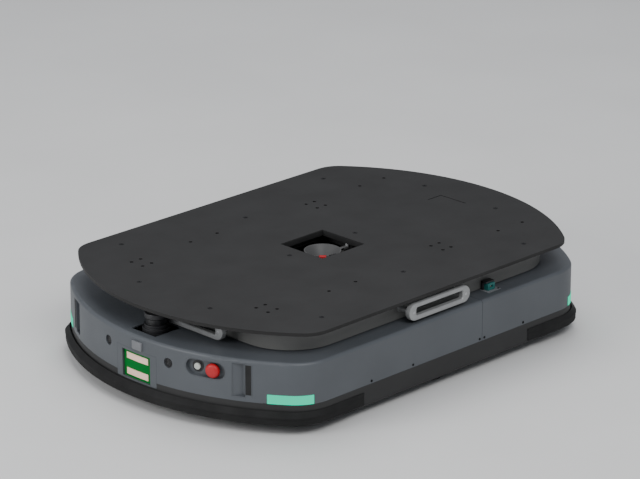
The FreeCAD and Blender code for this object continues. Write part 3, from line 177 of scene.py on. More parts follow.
def lens(name):
    """Dark coated glass."""
    finish = Finish(name, (0.01, 0.012, 0.02), 0.05).mottled(10, 0.2)
    return finish.set("Coat Weight", 1.0).set("IOR", 1.7).material


LOOKS = {
    "deck_paint": powder_coat("deck_paint", (0.0125, 0.0122, 0.0120), 0.6, 0.32),
    "frame_paint": powder_coat("frame_paint", (0.135, 0.136, 0.130), 0.6),
    "cover_paint": powder_coat("cover_paint", (0.072, 0.080, 0.090), 0.48),
    "skirt_paint": powder_coat("skirt_paint", (0.022, 0.022, 0.022), 0.62, 0.4),
    "bumper_rubber": rubber("bumper_rubber", (0.006, 0.006, 0.006)),
    "dark_plastic": moulded("dark_plastic", (0.016, 0.016, 0.018), 0.5),
    "gloss_black": glossy("gloss_black", (0.012, 0.012, 0.013), 0.3),
    "bare_steel": machined("bare_steel", (0.5, 0.5, 0.51), 0.35),
    "bare_aluminium": machined("bare_aluminium", (0.6, 0.61, 0.63), 0.4),
    "handle_silver": anodised("handle_silver", (0.30, 0.305, 0.305), 0.45, 0.35),
    "belt_rubber": rubber("belt_rubber", (0.012, 0.012, 0.012)),
    "tyre_rubber": rubber("tyre_rubber", (0.02, 0.02, 0.021)),
    "caster_tread": rubber("caster_tread", (0.09, 0.09, 0.095)),
    "light_green": light_strip("light_green", (0.0, 1.0, 0.58)),
    "board_green": powder_coat("board_green", (0.0, 0.15, 0.02), 0.6, 0.12),
    "contact_copper": anodised("contact_copper", (1.0, 0.67, 0.53), 0.5, 0.0),
    "stop_red": glossy("stop_red", (0.42, 0.002, 0.006), 0.5),
    "start_white": glossy("start_white", (0.48, 0.5, 0.46), 0.45),
    "port_teal": moulded("port_teal", (0.01, 0.12, 0.11), 0.45),
    "battery_grey": moulded("battery_grey", (0.07, 0.07, 0.075), 0.5),
    "lens_glass": lens("lens_glass"),
}
BLACKENED = machined("blackened_steel", (0.018, 0.018, 0.019), 0.5)
HOOD_GREY = moulded("hood_grey", (0.06, 0.06, 0.06), 0.55)
DOCK_GREY = moulded("dock_grey", (0.15, 0.155, 0.165), 0.45)
BLACKENED_NODES = ("deck_screws", "cover_screws")


def dress_nodes():
    """Gives every CAD node the material of its slot in the record."""
    for entry in frame["record"]["subparts"]:
        blackened = entry["node"] in BLACKENED_NODES
        for slot in nodes[entry["node"]].material_slots:
            slot.material = BLACKENED if blackened else LOOKS[entry["material_slot"]]


# ----------------------------------------------------------------------------------------
# Mesh work
# ----------------------------------------------------------------------------------------
IDENTITY = Matrix.Identity(4)
SMOOTH_ANGLE = math.radians(30)


def piece(name, form, body, slot, finish=None, replaces=()):
    """Turns mesh work into a piece of one body with one material: the given finish, or else the
    look of its slot.
    """
    mesh = bpy.data.meshes.new(name)
    bmesh.ops.recalc_face_normals(form, faces=form.faces)
    form.to_mesh(mesh)
    form.free()
    item = bpy.data.objects.new(name, mesh)
    bpy.context.collection.objects.link(item)
    mesh.materials.append(finish or LOOKS[slot])
    mesh.shade_smooth()
    mesh.set_sharp_from_angle(angle=SMOOTH_ANGLE)
    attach(item, body)
    if replaces:
        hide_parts(*replaces)


def islands(node):
    """Lowest and highest corners of each separate solid in a CAD node."""
    form = bmesh.new()
    form.from_mesh(nodes[node].data)
    bmesh.ops.remove_doubles(form, verts=form.verts, dist=1e-6)
    left = set(form.verts)
    boxes = []
    while left:
        stack = [left.pop()]
        points = []
        while stack:
            vertex = stack.pop()
            points.append(vertex.co.copy())
            for edge in vertex.link_edges:
                other = edge.other_vert(vertex)
                if other in left:
                    left.remove(other)
                    stack.append(other)
        low = Vector([min(p[i] for p in points) for i in range(3)])
        high = Vector([max(p[i] for p in points) for i in range(3)])
        boxes.append((low, high))
    form.free()
    return sorted(boxes, key=lambda box: tuple(round(v, 4) for v in box[0]))


def middle_of(node):
    """The middle of a CAD node's box."""
    low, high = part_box(node)
    return (Vector(low) + Vector(high)) / 2


def between(low, high, share):
    return low + (high - low) * share


def frame_at(place, axis):
    """A transform whose +Z points along the axis."""
    turn = Vector(axis).to_track_quat("Z", "Y").to_matrix().to_4x4()
    return Matrix.Translation(place) @ turn


def join(form, lower, upper):
    """Faces between two rings, either of which may be a single point."""
    steps = max(len(lower), len(upper))
    for i in range(steps):
        j = (i + 1) % steps
        corners = [lower[i % len(lower)], lower[j % len(lower)],
                   upper[j % len(upper)], upper[i % len(upper)]]
        form.faces.new(list(dict.fromkeys(corners)))


def join_all(form, rings):
    for lower, upper in zip(rings, rings[1:]):
        join(form, lower, upper)


def lathe(form, profile, at=IDENTITY, steps=48):
    """Spins a profile of radius and height pairs; the first and last may lie on the axis."""
    rings = []
    for radius, height in profile:
        ring = []
        for i in range(steps if radius else 1):
            turn = 2 * math.pi * i / steps
            spot = Vector((radius * math.cos(turn), radius * math.sin(turn), height))
            ring.append(form.verts.new(at @ spot))
        rings.append(ring)
    join_all(form, rings)
    return rings


def brick(form, low, high, at=IDENTITY, bevel=0.0003):
    """A box with bevelled edges."""
    part = bmesh.ops.create_cube(form, size=1)
    middle, size = (Vector(low) + Vector(high)) / 2, Vector(high) - Vector(low)
    for vertex in part["verts"]:
        vertex.co = at @ (middle + Vector([vertex.co[i] * size[i] for i in range(3)]))
    edges = {edge for vertex in part["verts"] for edge in vertex.link_edges}
    bmesh.ops.bevel(form, geom=list(edges), offset=bevel, segments=2, affect="EDGES", profile=0.6)


# ----------------------------------------------------------------------------------------
# Screws
# ----------------------------------------------------------------------------------------
CROWN = 0.0006
SOCKET_STEPS = 24
SOCKET_MOUTH = 0.0005
SOCKET_DEPTH = 0.0004
SOCKET_POINT = 0.00008
SOCKET_FIT = 0.94
SIXTH = math.pi / 3
PAN_SCREW_RADIUS = 0.0045
PAN_SCREW_PLACES = (
    *((x, 0.385) for x in (-0.33, -0.20, 0.20, 0.33)),
    *((x, 0.10) for x in (-0.545, 0.545)),
)


def hex_socket(form, place, axis, radius):
    """A low crowned screw head with a hexagon socket."""
    at = frame_at(place, axis)
    crown = [(radius, 0.0), (radius * 0.97, 0.0003), (radius * 0.8, CROWN), (radius * 0.62, CROWN)]
    head = lathe(form, crown, at, SOCKET_STEPS)
    mouth, foot = [], []
    for i in range(SOCKET_STEPS):
        turn = 2 * math.pi * i / SOCKET_STEPS
        reach = radius * 0.5 * math.cos(SIXTH / 2) / math.cos(turn % SIXTH - SIXTH / 2)
        spot = Vector((reach * math.cos(turn), reach * math.sin(turn), SOCKET_MOUTH))
        mouth.append(form.verts.new(at @ spot))
        foot.append(form.verts.new(at @ (spot - Vector((0, 0, SOCKET_DEPTH)))))
    point = form.verts.new(at @ Vector((0, 0, SOCKET_POINT)))
    join_all(form, [head[-1], mouth, foot, [point]])


def add_screw_sockets():
    """A socket on the face of every deck screw and cover screw."""
    form = bmesh.new()
    for low, high in islands("deck_screws"):
        middle = (low + high) / 2
        face = (middle.x, middle.y, high.z)
        hex_socket(form, face, (0, 0, 1), (high.x - low.x) / 2 * SOCKET_FIT)
    piece("deck_screw_sockets", form, "deck", "bare_steel", BLACKENED)
    form = bmesh.new()
    for low, high in islands("cover_screws"):
        middle = (low + high) / 2
        side = math.copysign(1, low.y)
        face = (middle.x, high.y if side > 0 else low.y, middle.z)
        hex_socket(form, face, (0, side, 0), (high.x - low.x) / 2 * SOCKET_FIT)
    piece("cover_screw_sockets", form, "chassis", "bare_steel", BLACKENED)


def add_pan_screws():
    """Button screws round the underside of the pan."""
    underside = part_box("chassis_tray")[0][2]
    form = bmesh.new()
    for side in (-1, 1):
        for x, y in PAN_SCREW_PLACES:
            hex_socket(form, (x, side * y, underside), (0, 0, -1), PAN_SCREW_RADIUS)
    piece("pan_screws", form, "chassis", "bare_steel", BLACKENED)


# ----------------------------------------------------------------------------------------
# Deck handles
# ----------------------------------------------------------------------------------------
HANDLE_HALF = 0.101
HANDLE_HEIGHT = 0.041
HANDLE_THICK = 0.015
HANDLE_EDGE = 0.0022
HANDLE_SLOT_HALF = 0.077
HANDLE_SLOT_HEIGHT = 0.019
HANDLE_SLOT_CORNER = 0.005
HANDLE_Z = 0.2
HANDLE_FACE = 0.045
HANDLE_POST_SPAN = 0.086
HANDLE_SCREW_RADIUS = 0.0036
SIDE_HANDLE_X = -0.019
END_HANDLE_Y = -0.083


def handle_outline():
    """The outer stadium and the inner slot of a handle, as points of length and height."""
    outer, inner = [], []
    radius = HANDLE_HEIGHT / 2
    for side in (1, -1):
        for i in range(17):
            turn = math.pi / 2 - math.pi * i / 16
            along = HANDLE_HALF - radius + radius * math.cos(turn)
            outer.append((side * along, side * radius * math.sin(turn)))
    corner = HANDLE_SLOT_CORNER
    for sx, sz, start in ((1, 1, 90), (1, -1, 0), (-1, -1, -90), (-1, 1, 180)):
        for i in range(7):
            turn = math.radians(start - 90 * i / 6)
            inner.append((sx * (HANDLE_SLOT_HALF - corner) + corner * math.cos(turn),
                          sz * (HANDLE_SLOT_HEIGHT / 2 - corner) + corner * math.sin(turn)))
    return outer, inner


def handle_ring(form, at):
    """A ring with rounded edges: length along X, height along Z, outer face towards -Y."""
    made = []

    def loop(points, inset, y):
        """One closed row of vertices, moved into the ring's bar by the inset."""
        row = []
        for k, (x, z) in enumerate(points):
            before, after = Vector(points[k - 1]), Vector(points[(k + 1) % len(points)])
            along = (after - before).normalized()
            row.append(form.verts.new((x + along.y * inset, y, z - along.x * inset)))
        made.extend(row)
        return row

    outer, inner = handle_outline()
    half, edge = HANDLE_THICK / 2, HANDLE_EDGE
    front = [loop(outer, 0, -half + edge), loop(outer, edge * 0.3, -half + edge * 0.3),
             loop(outer, edge, -half)]
    back = [loop(outer, 0, half - edge), loop(outer, edge, half)]
    slot = [loop(inner, -edge, -half), loop(inner, 0, -half + edge),
            loop(inner, 0, half - edge), loop(inner, -edge, half)]
    join_all(form, front)
    join_all(form, [front[0], *back])
    join_all(form, slot)
    for outside, inside in ((front[-1], slot[0]), (back[-1], slot[-1])):
        edges = []
        for ring in (outside, inside):
            for k, vertex in enumerate(ring):
                pair = (vertex, ring[(k + 1) % len(ring)])
                edges.append(form.edges.get(pair) or form.edges.new(pair))
        bmesh.ops.triangle_fill(form, use_beauty=True, use_dissolve=False, edges=edges)
    bmesh.ops.transform(form, matrix=at, verts=made)


def add_handles():
    """Upright loop handles on two posts each, in place of the flat CAD loops."""
    low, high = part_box("lift_frame")
    reach = HANDLE_FACE - HANDLE_THICK / 2
    post = [(0.0062, 0.004), (0.0062, reach - 0.003), (0.009, reach - 0.0025), (0.009, reach)]
    rings, screws = bmesh.new(), bmesh.new()
    for x, y, turn in (
        (SIDE_HANDLE_X, low[1] - reach, 0),
        (SIDE_HANDLE_X, high[1] + reach, 180),
        (low[0] - reach, END_HANDLE_Y, -90),
    ):
        at = Matrix.Translation((x, y, HANDLE_Z)) @ Matrix.Rotation(math.radians(turn), 4, "Z")
        outward = at.to_3x3() @ Vector((0, -1, 0))
        handle_ring(rings, at)
        for end in (-1, 1):
            foot = at @ Matrix.Translation((end * HANDLE_POST_SPAN, 0, 0))
            lathe(rings, post, foot @ Matrix.Rotation(-math.pi / 2, 4, "X"), 28)
            face = foot @ Vector((0, -HANDLE_THICK / 2, 0))
            hex_socket(screws, face, outward, HANDLE_SCREW_RADIUS)
    piece("handles", rings, "deck", "handle_silver", replaces=("deck_handles",))
    piece("handle_screws", screws, "deck", "bare_steel")


# ----------------------------------------------------------------------------------------
# Sensors
# ----------------------------------------------------------------------------------------
SONAR_REACH = 0.0118
SONAR_RIM = [(0.0079, 0.0), (0.0079, 0.0013), (0.0072, 0.0017), (0.0066, 0.0013), (0.0066, 0.0)]
SONAR_FACE_RADIUS = 0.0065
SONAR_RIDGE_PITCH = 0.0014
SONAR_FLOOR = 0.0003
SONAR_RIDGE = 0.0008

SCANNER_RADIUS = 0.032
SCANNER_GROOVE_RADIUS = 0.0302
SCANNER_GROOVE_START = 0.0215
SCANNER_GROOVE_PITCH = 0.0045
SCANNER_HEAD = [
    (0.032, 0.0462), (0.0312, 0.047), (0.0275, 0.047), (0.0268, 0.0478), (0.0268, 0.0512),
    (0.0285, 0.0520), (0.0285, 0.0548), (0.0278, 0.0555), (0.0238, 0.0555), (0.0238, 0.0690),
    (0.0262, 0.0698), (0.027, 0.0706), (0.027, 0.0795), (0.0262, 0.0812), (0.0245, 0.082),
    (0.0215, 0.082), (0.0210, 0.0815), (0.0195, 0.0815), (0.0190, 0.082), (0, 0.082),
]
SCANNER_WINDOW = [(0.0238, 0.0558), (0.0246, 0.0560), (0.0254, 0.0686), (0.0238, 0.0688)]


def add_sonar_faces():
    """A ribbed transducer face in each ultrasonic sensor."""
    rims, faces = bmesh.new(), bmesh.new()
    profile = [(SONAR_FACE_RADIUS, SONAR_FLOOR)]
    for ridge in range(4):
        outer = SONAR_FACE_RADIUS - 0.0003 - ridge * SONAR_RIDGE_PITCH
        profile += [(outer, SONAR_FLOOR), (outer - 0.0003, SONAR_RIDGE),
                    (outer - 0.0009, SONAR_RIDGE), (outer - 0.0012, SONAR_FLOOR)]
    profile.append((0, SONAR_FLOOR))
    for low, high in islands("sonar_sensors"):
        middle = (low + high) / 2
        outward = Vector((middle.x, middle.y, 0)).normalized()
        at = frame_at(middle + outward * SONAR_REACH, outward)
        lathe(rims, SONAR_RIM, at)
        lathe(faces, profile, at)
    piece("sonar_rims", rims, "chassis", "dark_plastic")
    piece("sonar_faces", faces, "chassis", "gloss_black")


def add_scanners():
    """Stepped scanners with cooling grooves and a dark conical window."""
    wide, deep = SCANNER_RADIUS, SCANNER_GROOVE_RADIUS
    profile = [(0, 0.0), (wide - 0.0002, 0.0), (wide, 0.0002)]
    for groove in range(5):
        foot = SCANNER_GROOVE_START + groove * SCANNER_GROOVE_PITCH
        profile += [(wide, foot), (deep, foot + 0.0005),
                    (deep, foot + 0.0017), (wide, foot + 0.0022)]
    profile += SCANNER_HEAD
    for end in ("front", "rear"):
        node = "scanner_" + end
        middle = middle_of(node)
        at = Matrix.Translation((middle.x, middle.y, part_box(node)[0][2]))
        housing, glass = bmesh.new(), bmesh.new()
        lathe(housing, profile, at, 72)
        lathe(glass, SCANNER_WINDOW, at, 72)
        piece(f"scanner_housing_{end}", housing, "chassis", "gloss_black",
              LOOKS["dark_plastic"], (node,))
        piece(f"scanner_window_{end}", glass, "chassis", "gloss_black")


# ----------------------------------------------------------------------------------------
# Buttons
# ----------------------------------------------------------------------------------------
PANEL_ANGLE = math.radians(19)
PANEL_FLOOR = 0.583
PANEL_HEIGHT = 0.1365
PRESS_OUT = Vector((-math.cos(PANEL_ANGLE), -math.sin(PANEL_ANGLE), 0))
PANEL_ALONG = Vector((math.sin(PANEL_ANGLE), -math.cos(PANEL_ANGLE), 0))
STOP_OFFSET = 0.018
STOP_DROP = 0.0015
START_OFFSET = -0.023
GRIP_RIBS = 28
STOP_HEAD = [
    (0, -0.010), (0.0069, -0.010), (0.0069, 0.0065), (0.0156, 0.0065), (0.0165, 0.0073),
    (0.0165, 0.0118), (0.0160, 0.0138), (0.0145, 0.0158), (0.0110, 0.0175), (0.0060, 0.0183),
    (0, 0.0185),
]
START_CAP = [
    (0, -0.004), (0.0079, -0.004), (0.0079, 0.0046), (0.0074, 0.0056), (0.0060, 0.0062),
    (0.0056, 0.0059), (0.0030, 0.0064), (0, 0.0065),
]
START_BASE = [
    (0.0081, -0.004), (0.0081, 0.0022), (0.0088, 0.0026), (0.0100, 0.0022), (0.0104, 0.0009),
    (0.0138, 0.0007), (0.0138, 0.0001),
]


def on_panel(offset, rise):
    """The frame of a button's axis: its origin lies on the recess floor."""
    place = PRESS_OUT * PANEL_FLOOR + PANEL_ALONG * offset + Vector((0, 0, PANEL_HEIGHT + rise))
    return frame_at(place, PRESS_OUT)


def add_buttons():
    """The stop button's mushroom head with a ribbed grip, and the start button with its ring."""
    at = on_panel(STOP_OFFSET, -STOP_DROP)
    head = bmesh.new()
    lathe(head, STOP_HEAD, at, 64)
    for i in range(GRIP_RIBS):
        turn = Matrix.Rotation(2 * math.pi * i / GRIP_RIBS, 4, "Z")
        brick(head, (0.0158, -0.0006, 0.0076), (0.01695, 0.0006, 0.0114), at @ turn)
    piece("stop_head", head, "stop_button", "stop_red", replaces=("stop_button_head",))
    at = on_panel(START_OFFSET, 0.0)
    cap, base = bmesh.new(), bmesh.new()
    lathe(cap, START_CAP, at)
    lathe(base, START_BASE, at)
    piece("start_cap", cap, "start_button", "start_white", replaces=("start_button_cap",))
    piece("start_base", base, "chassis", "bare_aluminium",
          LOOKS["dark_plastic"], ("start_button_base",))


# ----------------------------------------------------------------------------------------
# Cover outline in plan: two end arcs and two straight sides, with arcs at the four corners
# ----------------------------------------------------------------------------------------
COVER_RADIUS = 0.595
COVER_HALF_WIDTH = 0.405
CORNER_RADIUS = 0.104
CORNER_Y = COVER_HALF_WIDTH - CORNER_RADIUS
CORNER_X = math.sqrt((COVER_RADIUS - CORNER_RADIUS) ** 2 - CORNER_Y ** 2)
CORNER_TURN = math.atan2(CORNER_Y, CORNER_X)
QUARTER = math.pi / 2


def outline_spot(turn, along=0.0):
    """A point of the outline and its outward normal.

    The turn runs from 0 at the end's middle to a quarter at the side, and along then moves the
    point down the straight side.
    """
    side = math.copysign(1, turn)
    normal = Vector((math.cos(turn), side * math.sin(abs(turn))))
    if abs(turn) <= CORNER_TURN:
        return normal * COVER_RADIUS, normal
    middle = Vector((CORNER_X - along, side * CORNER_Y))
    return middle + normal * CORNER_RADIUS, normal


def arc_stations(start, stop, steps, section):
    """The same section at even turns of the outline."""
    turns = [between(start, stop, i / steps) for i in range(steps + 1)]
    return [(outline_spot(turn), section) for turn in turns]


def sweep(form, stations, end):
    """Joins the sections along the outline and closes both ends; end is -1 at the front."""
    rows = []
    for (spot, normal), section in stations:
        row = []
        for reach, height in section:
            plan = spot + normal * reach
            row.append(form.verts.new((end * plan.x, plan.y, height)))
        rows.append(row)
    join_all(form, rows)
    form.faces.new(rows[0])
    form.faces.new(rows[-1])


# ----------------------------------------------------------------------------------------
# Charging and docking
# ----------------------------------------------------------------------------------------
BOARD_RADIUS = 0.589
PAD_MARGIN = 0.0035
SOLDER_PAD = [(0.0014, 0.0), (0.0014, 0.0003), (0.0007, 0.0004), (0.0005, 0.0001), (0, 0.0001)]
DOCK_SHIFT = 0.008
DOCK_PROUD = 0.0042


def add_contact_details():
    """Solder pads at the ends of each contact strip."""
    pads = bmesh.new()
    for low, high in islands("charge_contacts"):
        for side in (-1, 1):
            y = side * (high.y + PAD_MARGIN)
            x = -math.sqrt(BOARD_RADIUS ** 2 - y ** 2)
            lathe(pads, SOLDER_PAD, frame_at((x, y, (low.z + high.z) / 2), (x, y, 0)), 20)
    piece("contact_solder_pads", pads, "chassis", "board_green")


def add_dock_window():
    """The docking sensor's light block and the flush filler beside it."""
    (_, left, foot), (_, right, top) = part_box("dock_sensor")
    block, filler = bmesh.new(), bmesh.new()
    brick(filler, (-COVER_RADIUS - 0.0001, left, foot), (-COVER_RADIUS + 0.008, right, top))
    brick(block, (-COVER_RADIUS - DOCK_PROUD, left - DOCK_SHIFT, foot),
          (-COVER_RADIUS + 0.006, right - DOCK_SHIFT, top), bevel=0.0007)
    piece("dock_filler", filler, "chassis", "dark_plastic", LOOKS["cover_paint"])
    piece("dock_block", block, "chassis", "dark_plastic", DOCK_GREY, ("dock_sensor",))


# ----------------------------------------------------------------------------------------
# Camera and the deck's opening
# ----------------------------------------------------------------------------------------
HOOD_RADIUS = 0.044
HOOD_TOP = 0.221
HOOD = [
    (0, 0.128), (0.024, 0.128), (0.024, 0.158), (0.015, 0.162), (0.015, 0.182),
    (HOOD_RADIUS, HOOD_TOP - 0.003), (HOOD_RADIUS, HOOD_TOP), (HOOD_RADIUS - 0.002, HOOD_TOP),
    (0.0113, 0.184), (0.0113, 0.154), (0, 0.154),
]
ARM_BARS = (
    ((-0.048, -0.013, 0.1279), (-0.040, 0.001, 0.211)),
    ((0.040, -0.018, 0.1279), (0.061, 0.0, 0.133)),
    ((0.047, -0.014, 0.132), (0.057, -0.004, 0.215)),
    ((0.047, -0.014, 0.210), (0.079, -0.004, 0.2152)),
)
ARM_KNOB_PLACE = (0.074, -0.009, 0)
ARM_KNOB = [(0, 0.2150), (0.005, 0.2150), (0.005, 0.2200), (0.0035, 0.2212), (0, 0.2214)]
LINING_BEVEL = 0.0002


def add_camera_hood():
    """The upward camera's flared hood with a red plug on its rim, an upright and a cranked arm."""
    hood, plug, clips, arm, knob = [bmesh.new() for _ in range(5)]
    lathe(hood, HOOD, steps=72)
    for angle, form, wide in ((225, plug, 0.016), (252, clips, 0.008), (268, clips, 0.006)):
        turn = Matrix.Rotation(math.radians(angle), 4, "Z")
        at = turn @ Matrix.Translation((HOOD_RADIUS, 0, HOOD_TOP))
        brick(form, (-0.0006, -wide / 2, -0.008), (0.009, wide / 2, 0.0010), at, 0.0008)
        brick(form, (-0.0035, -wide / 2, -0.0002), (0.001, wide / 2, 0.0012), at, 0.0004)
    for low, high in ARM_BARS:
        brick(arm, low, high)
    lathe(knob, ARM_KNOB, Matrix.Translation(ARM_KNOB_PLACE), 24)
    piece("camera_hood", hood, "chassis", "dark_plastic", HOOD_GREY, ("code_camera",))
    piece("camera_plug", plug, "chassis", "stop_red")
    piece("camera_clips", clips, "chassis", "dark_plastic")
    piece("camera_arm", arm, "chassis", "bare_aluminium", HOOD_GREY)
    piece("camera_knob", knob, "chassis", "handle_silver")


def lining(form, inner, wall, floor, top):
    """Four thin walls round the square opening, between two distances from its middle."""
    for quarter in range(4):
        turn = Matrix.Rotation(quarter * QUARTER, 4, "Z")
        brick(form, (inner, -wall, floor), (wall, inner, top), turn, LINING_BEVEL)


def brim(form, inner, outer, floor, top):
    """Four flat plates round the square opening, between two distances from its middle."""
    for quarter in range(4):
        turn = Matrix.Rotation(quarter * QUARTER, 4, "Z")
        brick(form, (inner, -outer, floor), (outer, inner, top), turn, LINING_BEVEL)


def add_opening_painted_shade():
    """Painted shade: a dark sheet on the cover below the opening, and dark linings in the deck and
    its frame, standing in for the shadow inside the opening.
    """
    shade, shade_edging = bmesh.new(), bmesh.new()
    shade_top = COVER_TOP + 0.0012
    lining(shade, 0.0685, 0.0698, 0.13, shade_top)
    brim(shade, 0.0698, 0.145, COVER_TOP + 0.0001, shade_top)
    lining(shade_edging, 0.0687, 0.0699, DECK_BOTTOM - 0.0058, DECK_TOP - 0.0008)
    lining(shade_edging, 0.0927, 0.0939, DECK_BOTTOM - 0.0280, DECK_BOTTOM - 0.0080)
    # These near-black belt rubber sheets and linings are painted shade for the dark inside of the
    # opening, not the colour of real parts.
    piece("opening_painted_shade", shade, "chassis", "dark_plastic", LOOKS["belt_rubber"])
    piece("deck_opening_painted_shade", shade_edging, "deck", "dark_plastic", LOOKS["belt_rubber"])


# ----------------------------------------------------------------------------------------
# Service port
# ----------------------------------------------------------------------------------------
PORT_X = 0.179
PORT_HALF_WIDTH = 0.0115
PORT_WALL = 0.0060
PORT_BACK_WALL = 0.009
PORT_FOOT = COVER_TOP + 0.0015
PORT_TOP = COVER_TOP + 0.0185
PORT_SKIN = 0.0002
PIN = [(0.0006, 0.0), (0.0006, 0.0040), (0.0003, 0.0048), (0, 0.0049)]
PIN_PITCH = 0.003
PIN_ROW = 0.0017
HOOD_OVERHANG = 0.0042
HOOD_CREST = PORT_TOP + 0.0045
PLATE_TOP = COVER_TOP + 0.0014


def add_port():
    """The service port with contact pins under a thin hood, on a small plate."""
    low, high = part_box("service_port")
    face, back = low[1], high[1]
    left, right = PORT_X - PORT_HALF_WIDTH, PORT_X + PORT_HALF_WIDTH
    inside_left, inside_right = left + 0.001, right - 0.001
    foot, top, socket_back = PORT_FOOT, PORT_TOP, back - PORT_BACK_WALL
    shell, pins, hood, plate, screw = [bmesh.new() for _ in range(5)]
    for corners in (
        ((left, face, foot), (left + PORT_WALL, back, top)),
        ((right - PORT_WALL, face, foot), (right, back, top)),
        ((inside_left, face + PORT_SKIN, foot), (inside_right, back, foot + PORT_WALL)),
        ((inside_left, face + PORT_SKIN, top - PORT_WALL), (inside_right, back, top)),
        ((inside_left, socket_back, foot), (inside_right, back, top)),
    ):
        brick(shell, *corners, bevel=0.0005)
    for column in (-1.5, -0.5, 0.5, 1.5):
        for row in (-1, 1):
            place = (PORT_X + column * PIN_PITCH, socket_back, (foot + top) / 2 + row * PIN_ROW)
            lathe(pins, PIN, frame_at(place, (0, -1, 0)), 12)
    hood_left, hood_back = left - HOOD_OVERHANG, back + 0.001
    brick(hood, (hood_left, back - 0.006, foot), (left - 0.0004, hood_back, HOOD_CREST),
          bevel=0.0008)
    brick(hood, (hood_left, face + 0.003, top + 0.0004), (right + 0.001, hood_back, HOOD_CREST),
          bevel=0.0008)
    brick(plate, (left - 0.008, face - 0.008, COVER_TOP + 0.0001),
          (right + 0.012, hood_back, PLATE_TOP), bevel=0.0004)
    hex_socket(screw, (right + 0.008, face - 0.003, PLATE_TOP), (0, 0, 1), 0.0030)
    piece("port_shell", shell, "chassis", "port_teal", replaces=("service_port",))
    piece("port_pins", pins, "chassis", "contact_copper")
    piece("port_cover", hood, "chassis", "dark_plastic", replaces=("port_hood",))
    piece("port_plate", plate, "chassis", "bare_aluminium", DOCK_GREY)
    piece("port_screw", screw, "chassis", "bare_steel", BLACKENED)


# ----------------------------------------------------------------------------------------
# Bumpers
# ----------------------------------------------------------------------------------------
BUMPER_FOOT = 0.028
BUMPER_CREST = 0.0578
BUMPER_REACH = 0.014
BEAD_REACH = 0.015
LIP_THICK = 0.0012
SIDE_GAP = 0.0008
END_GAP = 0.0036
TIP_FULLNESS = 0.07
SIDE_FULLNESS = 0.467
BUMPER_TAIL = 0.113
TAPER_LENGTH = 0.06
THINNEST = 0.0003
TAIL_STEPS = 14
CORNER_STEPS = 24
END_STEPS = 48


def eased(value):
    """A smooth step from 0 to 1."""
    value = max(0.0, min(1.0, value))
    return value * value * (3 - 2 * value)


def bumper_section(fullness, gap):
    """Reach and height pairs of the bumper: a flat band, a bead on it and a lip sloping in."""
    outer = BUMPER_REACH * fullness
    bead = BEAD_REACH * fullness
    lip = gap + LIP_THICK
    pairs = [
        (gap, BUMPER_FOOT + 0.0005), (gap + 0.0006, BUMPER_FOOT), (outer - 0.0012, BUMPER_FOOT),
        (outer, BUMPER_FOOT + 0.0013), (outer, 0.0426), (bead, 0.0434), (bead, 0.0464),
        (bead - 0.0006, 0.0473), (lip, BUMPER_CREST - 0.0006), (lip - 0.0004, BUMPER_CREST),
    ]
    steps = len(pairs) + 1
    section = [(max(reach, gap + THINNEST * i / steps), z) for i, (reach, z) in enumerate(pairs)]
    return [*section, (gap, BUMPER_CREST)]


def add_bumpers():
    """Beaded bumpers whose ends taper off along the sides, in place of the plain CAD bands."""
    half = []
    for i in range(TAIL_STEPS + 1):
        along = BUMPER_TAIL * (1 - i / TAIL_STEPS)
        ease = eased((BUMPER_TAIL - along) / TAPER_LENGTH)
        section = bumper_section(between(TIP_FULLNESS, SIDE_FULLNESS, ease), SIDE_GAP)
        half.append((outline_spot(QUARTER, along), section))
    for i in range(1, CORNER_STEPS + 1):
        turn = between(QUARTER, CORNER_TURN, i / CORNER_STEPS)
        ease = eased(i / CORNER_STEPS)
        section = bumper_section(between(SIDE_FULLNESS, 1, ease), between(SIDE_GAP, END_GAP, ease))
        half.append((outline_spot(turn), section))
    arc = arc_stations(CORNER_TURN, -CORNER_TURN, END_STEPS, bumper_section(1.0, END_GAP))[1:-1]
    mirrored = [((Vector((spot.x, -spot.y)), Vector((normal.x, -normal.y))), section)
                for (spot, normal), section in reversed(half)]
    for name, end in (("front_bumper", -1), ("rear_bumper", 1)):
        form = bmesh.new()
        sweep(form, half + arc + mirrored, end)
        piece(name + "_band", form, name, "bumper_rubber", replaces=(name,))


# ----------------------------------------------------------------------------------------
# Corner lights and windows
# ----------------------------------------------------------------------------------------
LIGHT_START = math.radians(33.1)
LIGHT_STOP = math.radians(69)
FILLER_START = math.radians(32.1)
WINDOW_START = math.radians(28.35)
WINDOW_STOP = math.radians(29.65)
WINDOW_FRAME = math.radians(0.12)
STRIP_EDGE = 0.0005


def strip_section(low, high, inner, outer):
    """Reach and height pairs of a strip with bevelled outer edges."""
    edge = STRIP_EDGE
    return [(inner, low), (outer - edge, low), (outer, low + edge), (outer, high - edge),
            (outer - edge, high), (inner, high)]


def add_corner_lights():
    """Frosted light strips round the corners, and cover-coloured fillers at their inner ends."""
    strip = strip_section(0.0733, 0.0952, -0.003, 0.0009)
    filler = strip_section(0.0732, 0.0934, -0.003, 0.0001)
    for name, end in (("front", -1), ("rear", 1)):
        lights, fillers = bmesh.new(), bmesh.new()
        for side in (-1, 1):
            start, stop = side * LIGHT_START, side * LIGHT_STOP
            sweep(lights, arc_stations(start, stop, 30, strip), end)
            sweep(fillers, arc_stations(side * FILLER_START, start, 4, filler), end)
        piece(f"corner_strips_{name}", lights, "chassis", "light_green",
              replaces=(f"corner_lights_{name}",))
        piece(f"corner_fillers_{name}", fillers, "chassis", "light_green", LOOKS["cover_paint"])


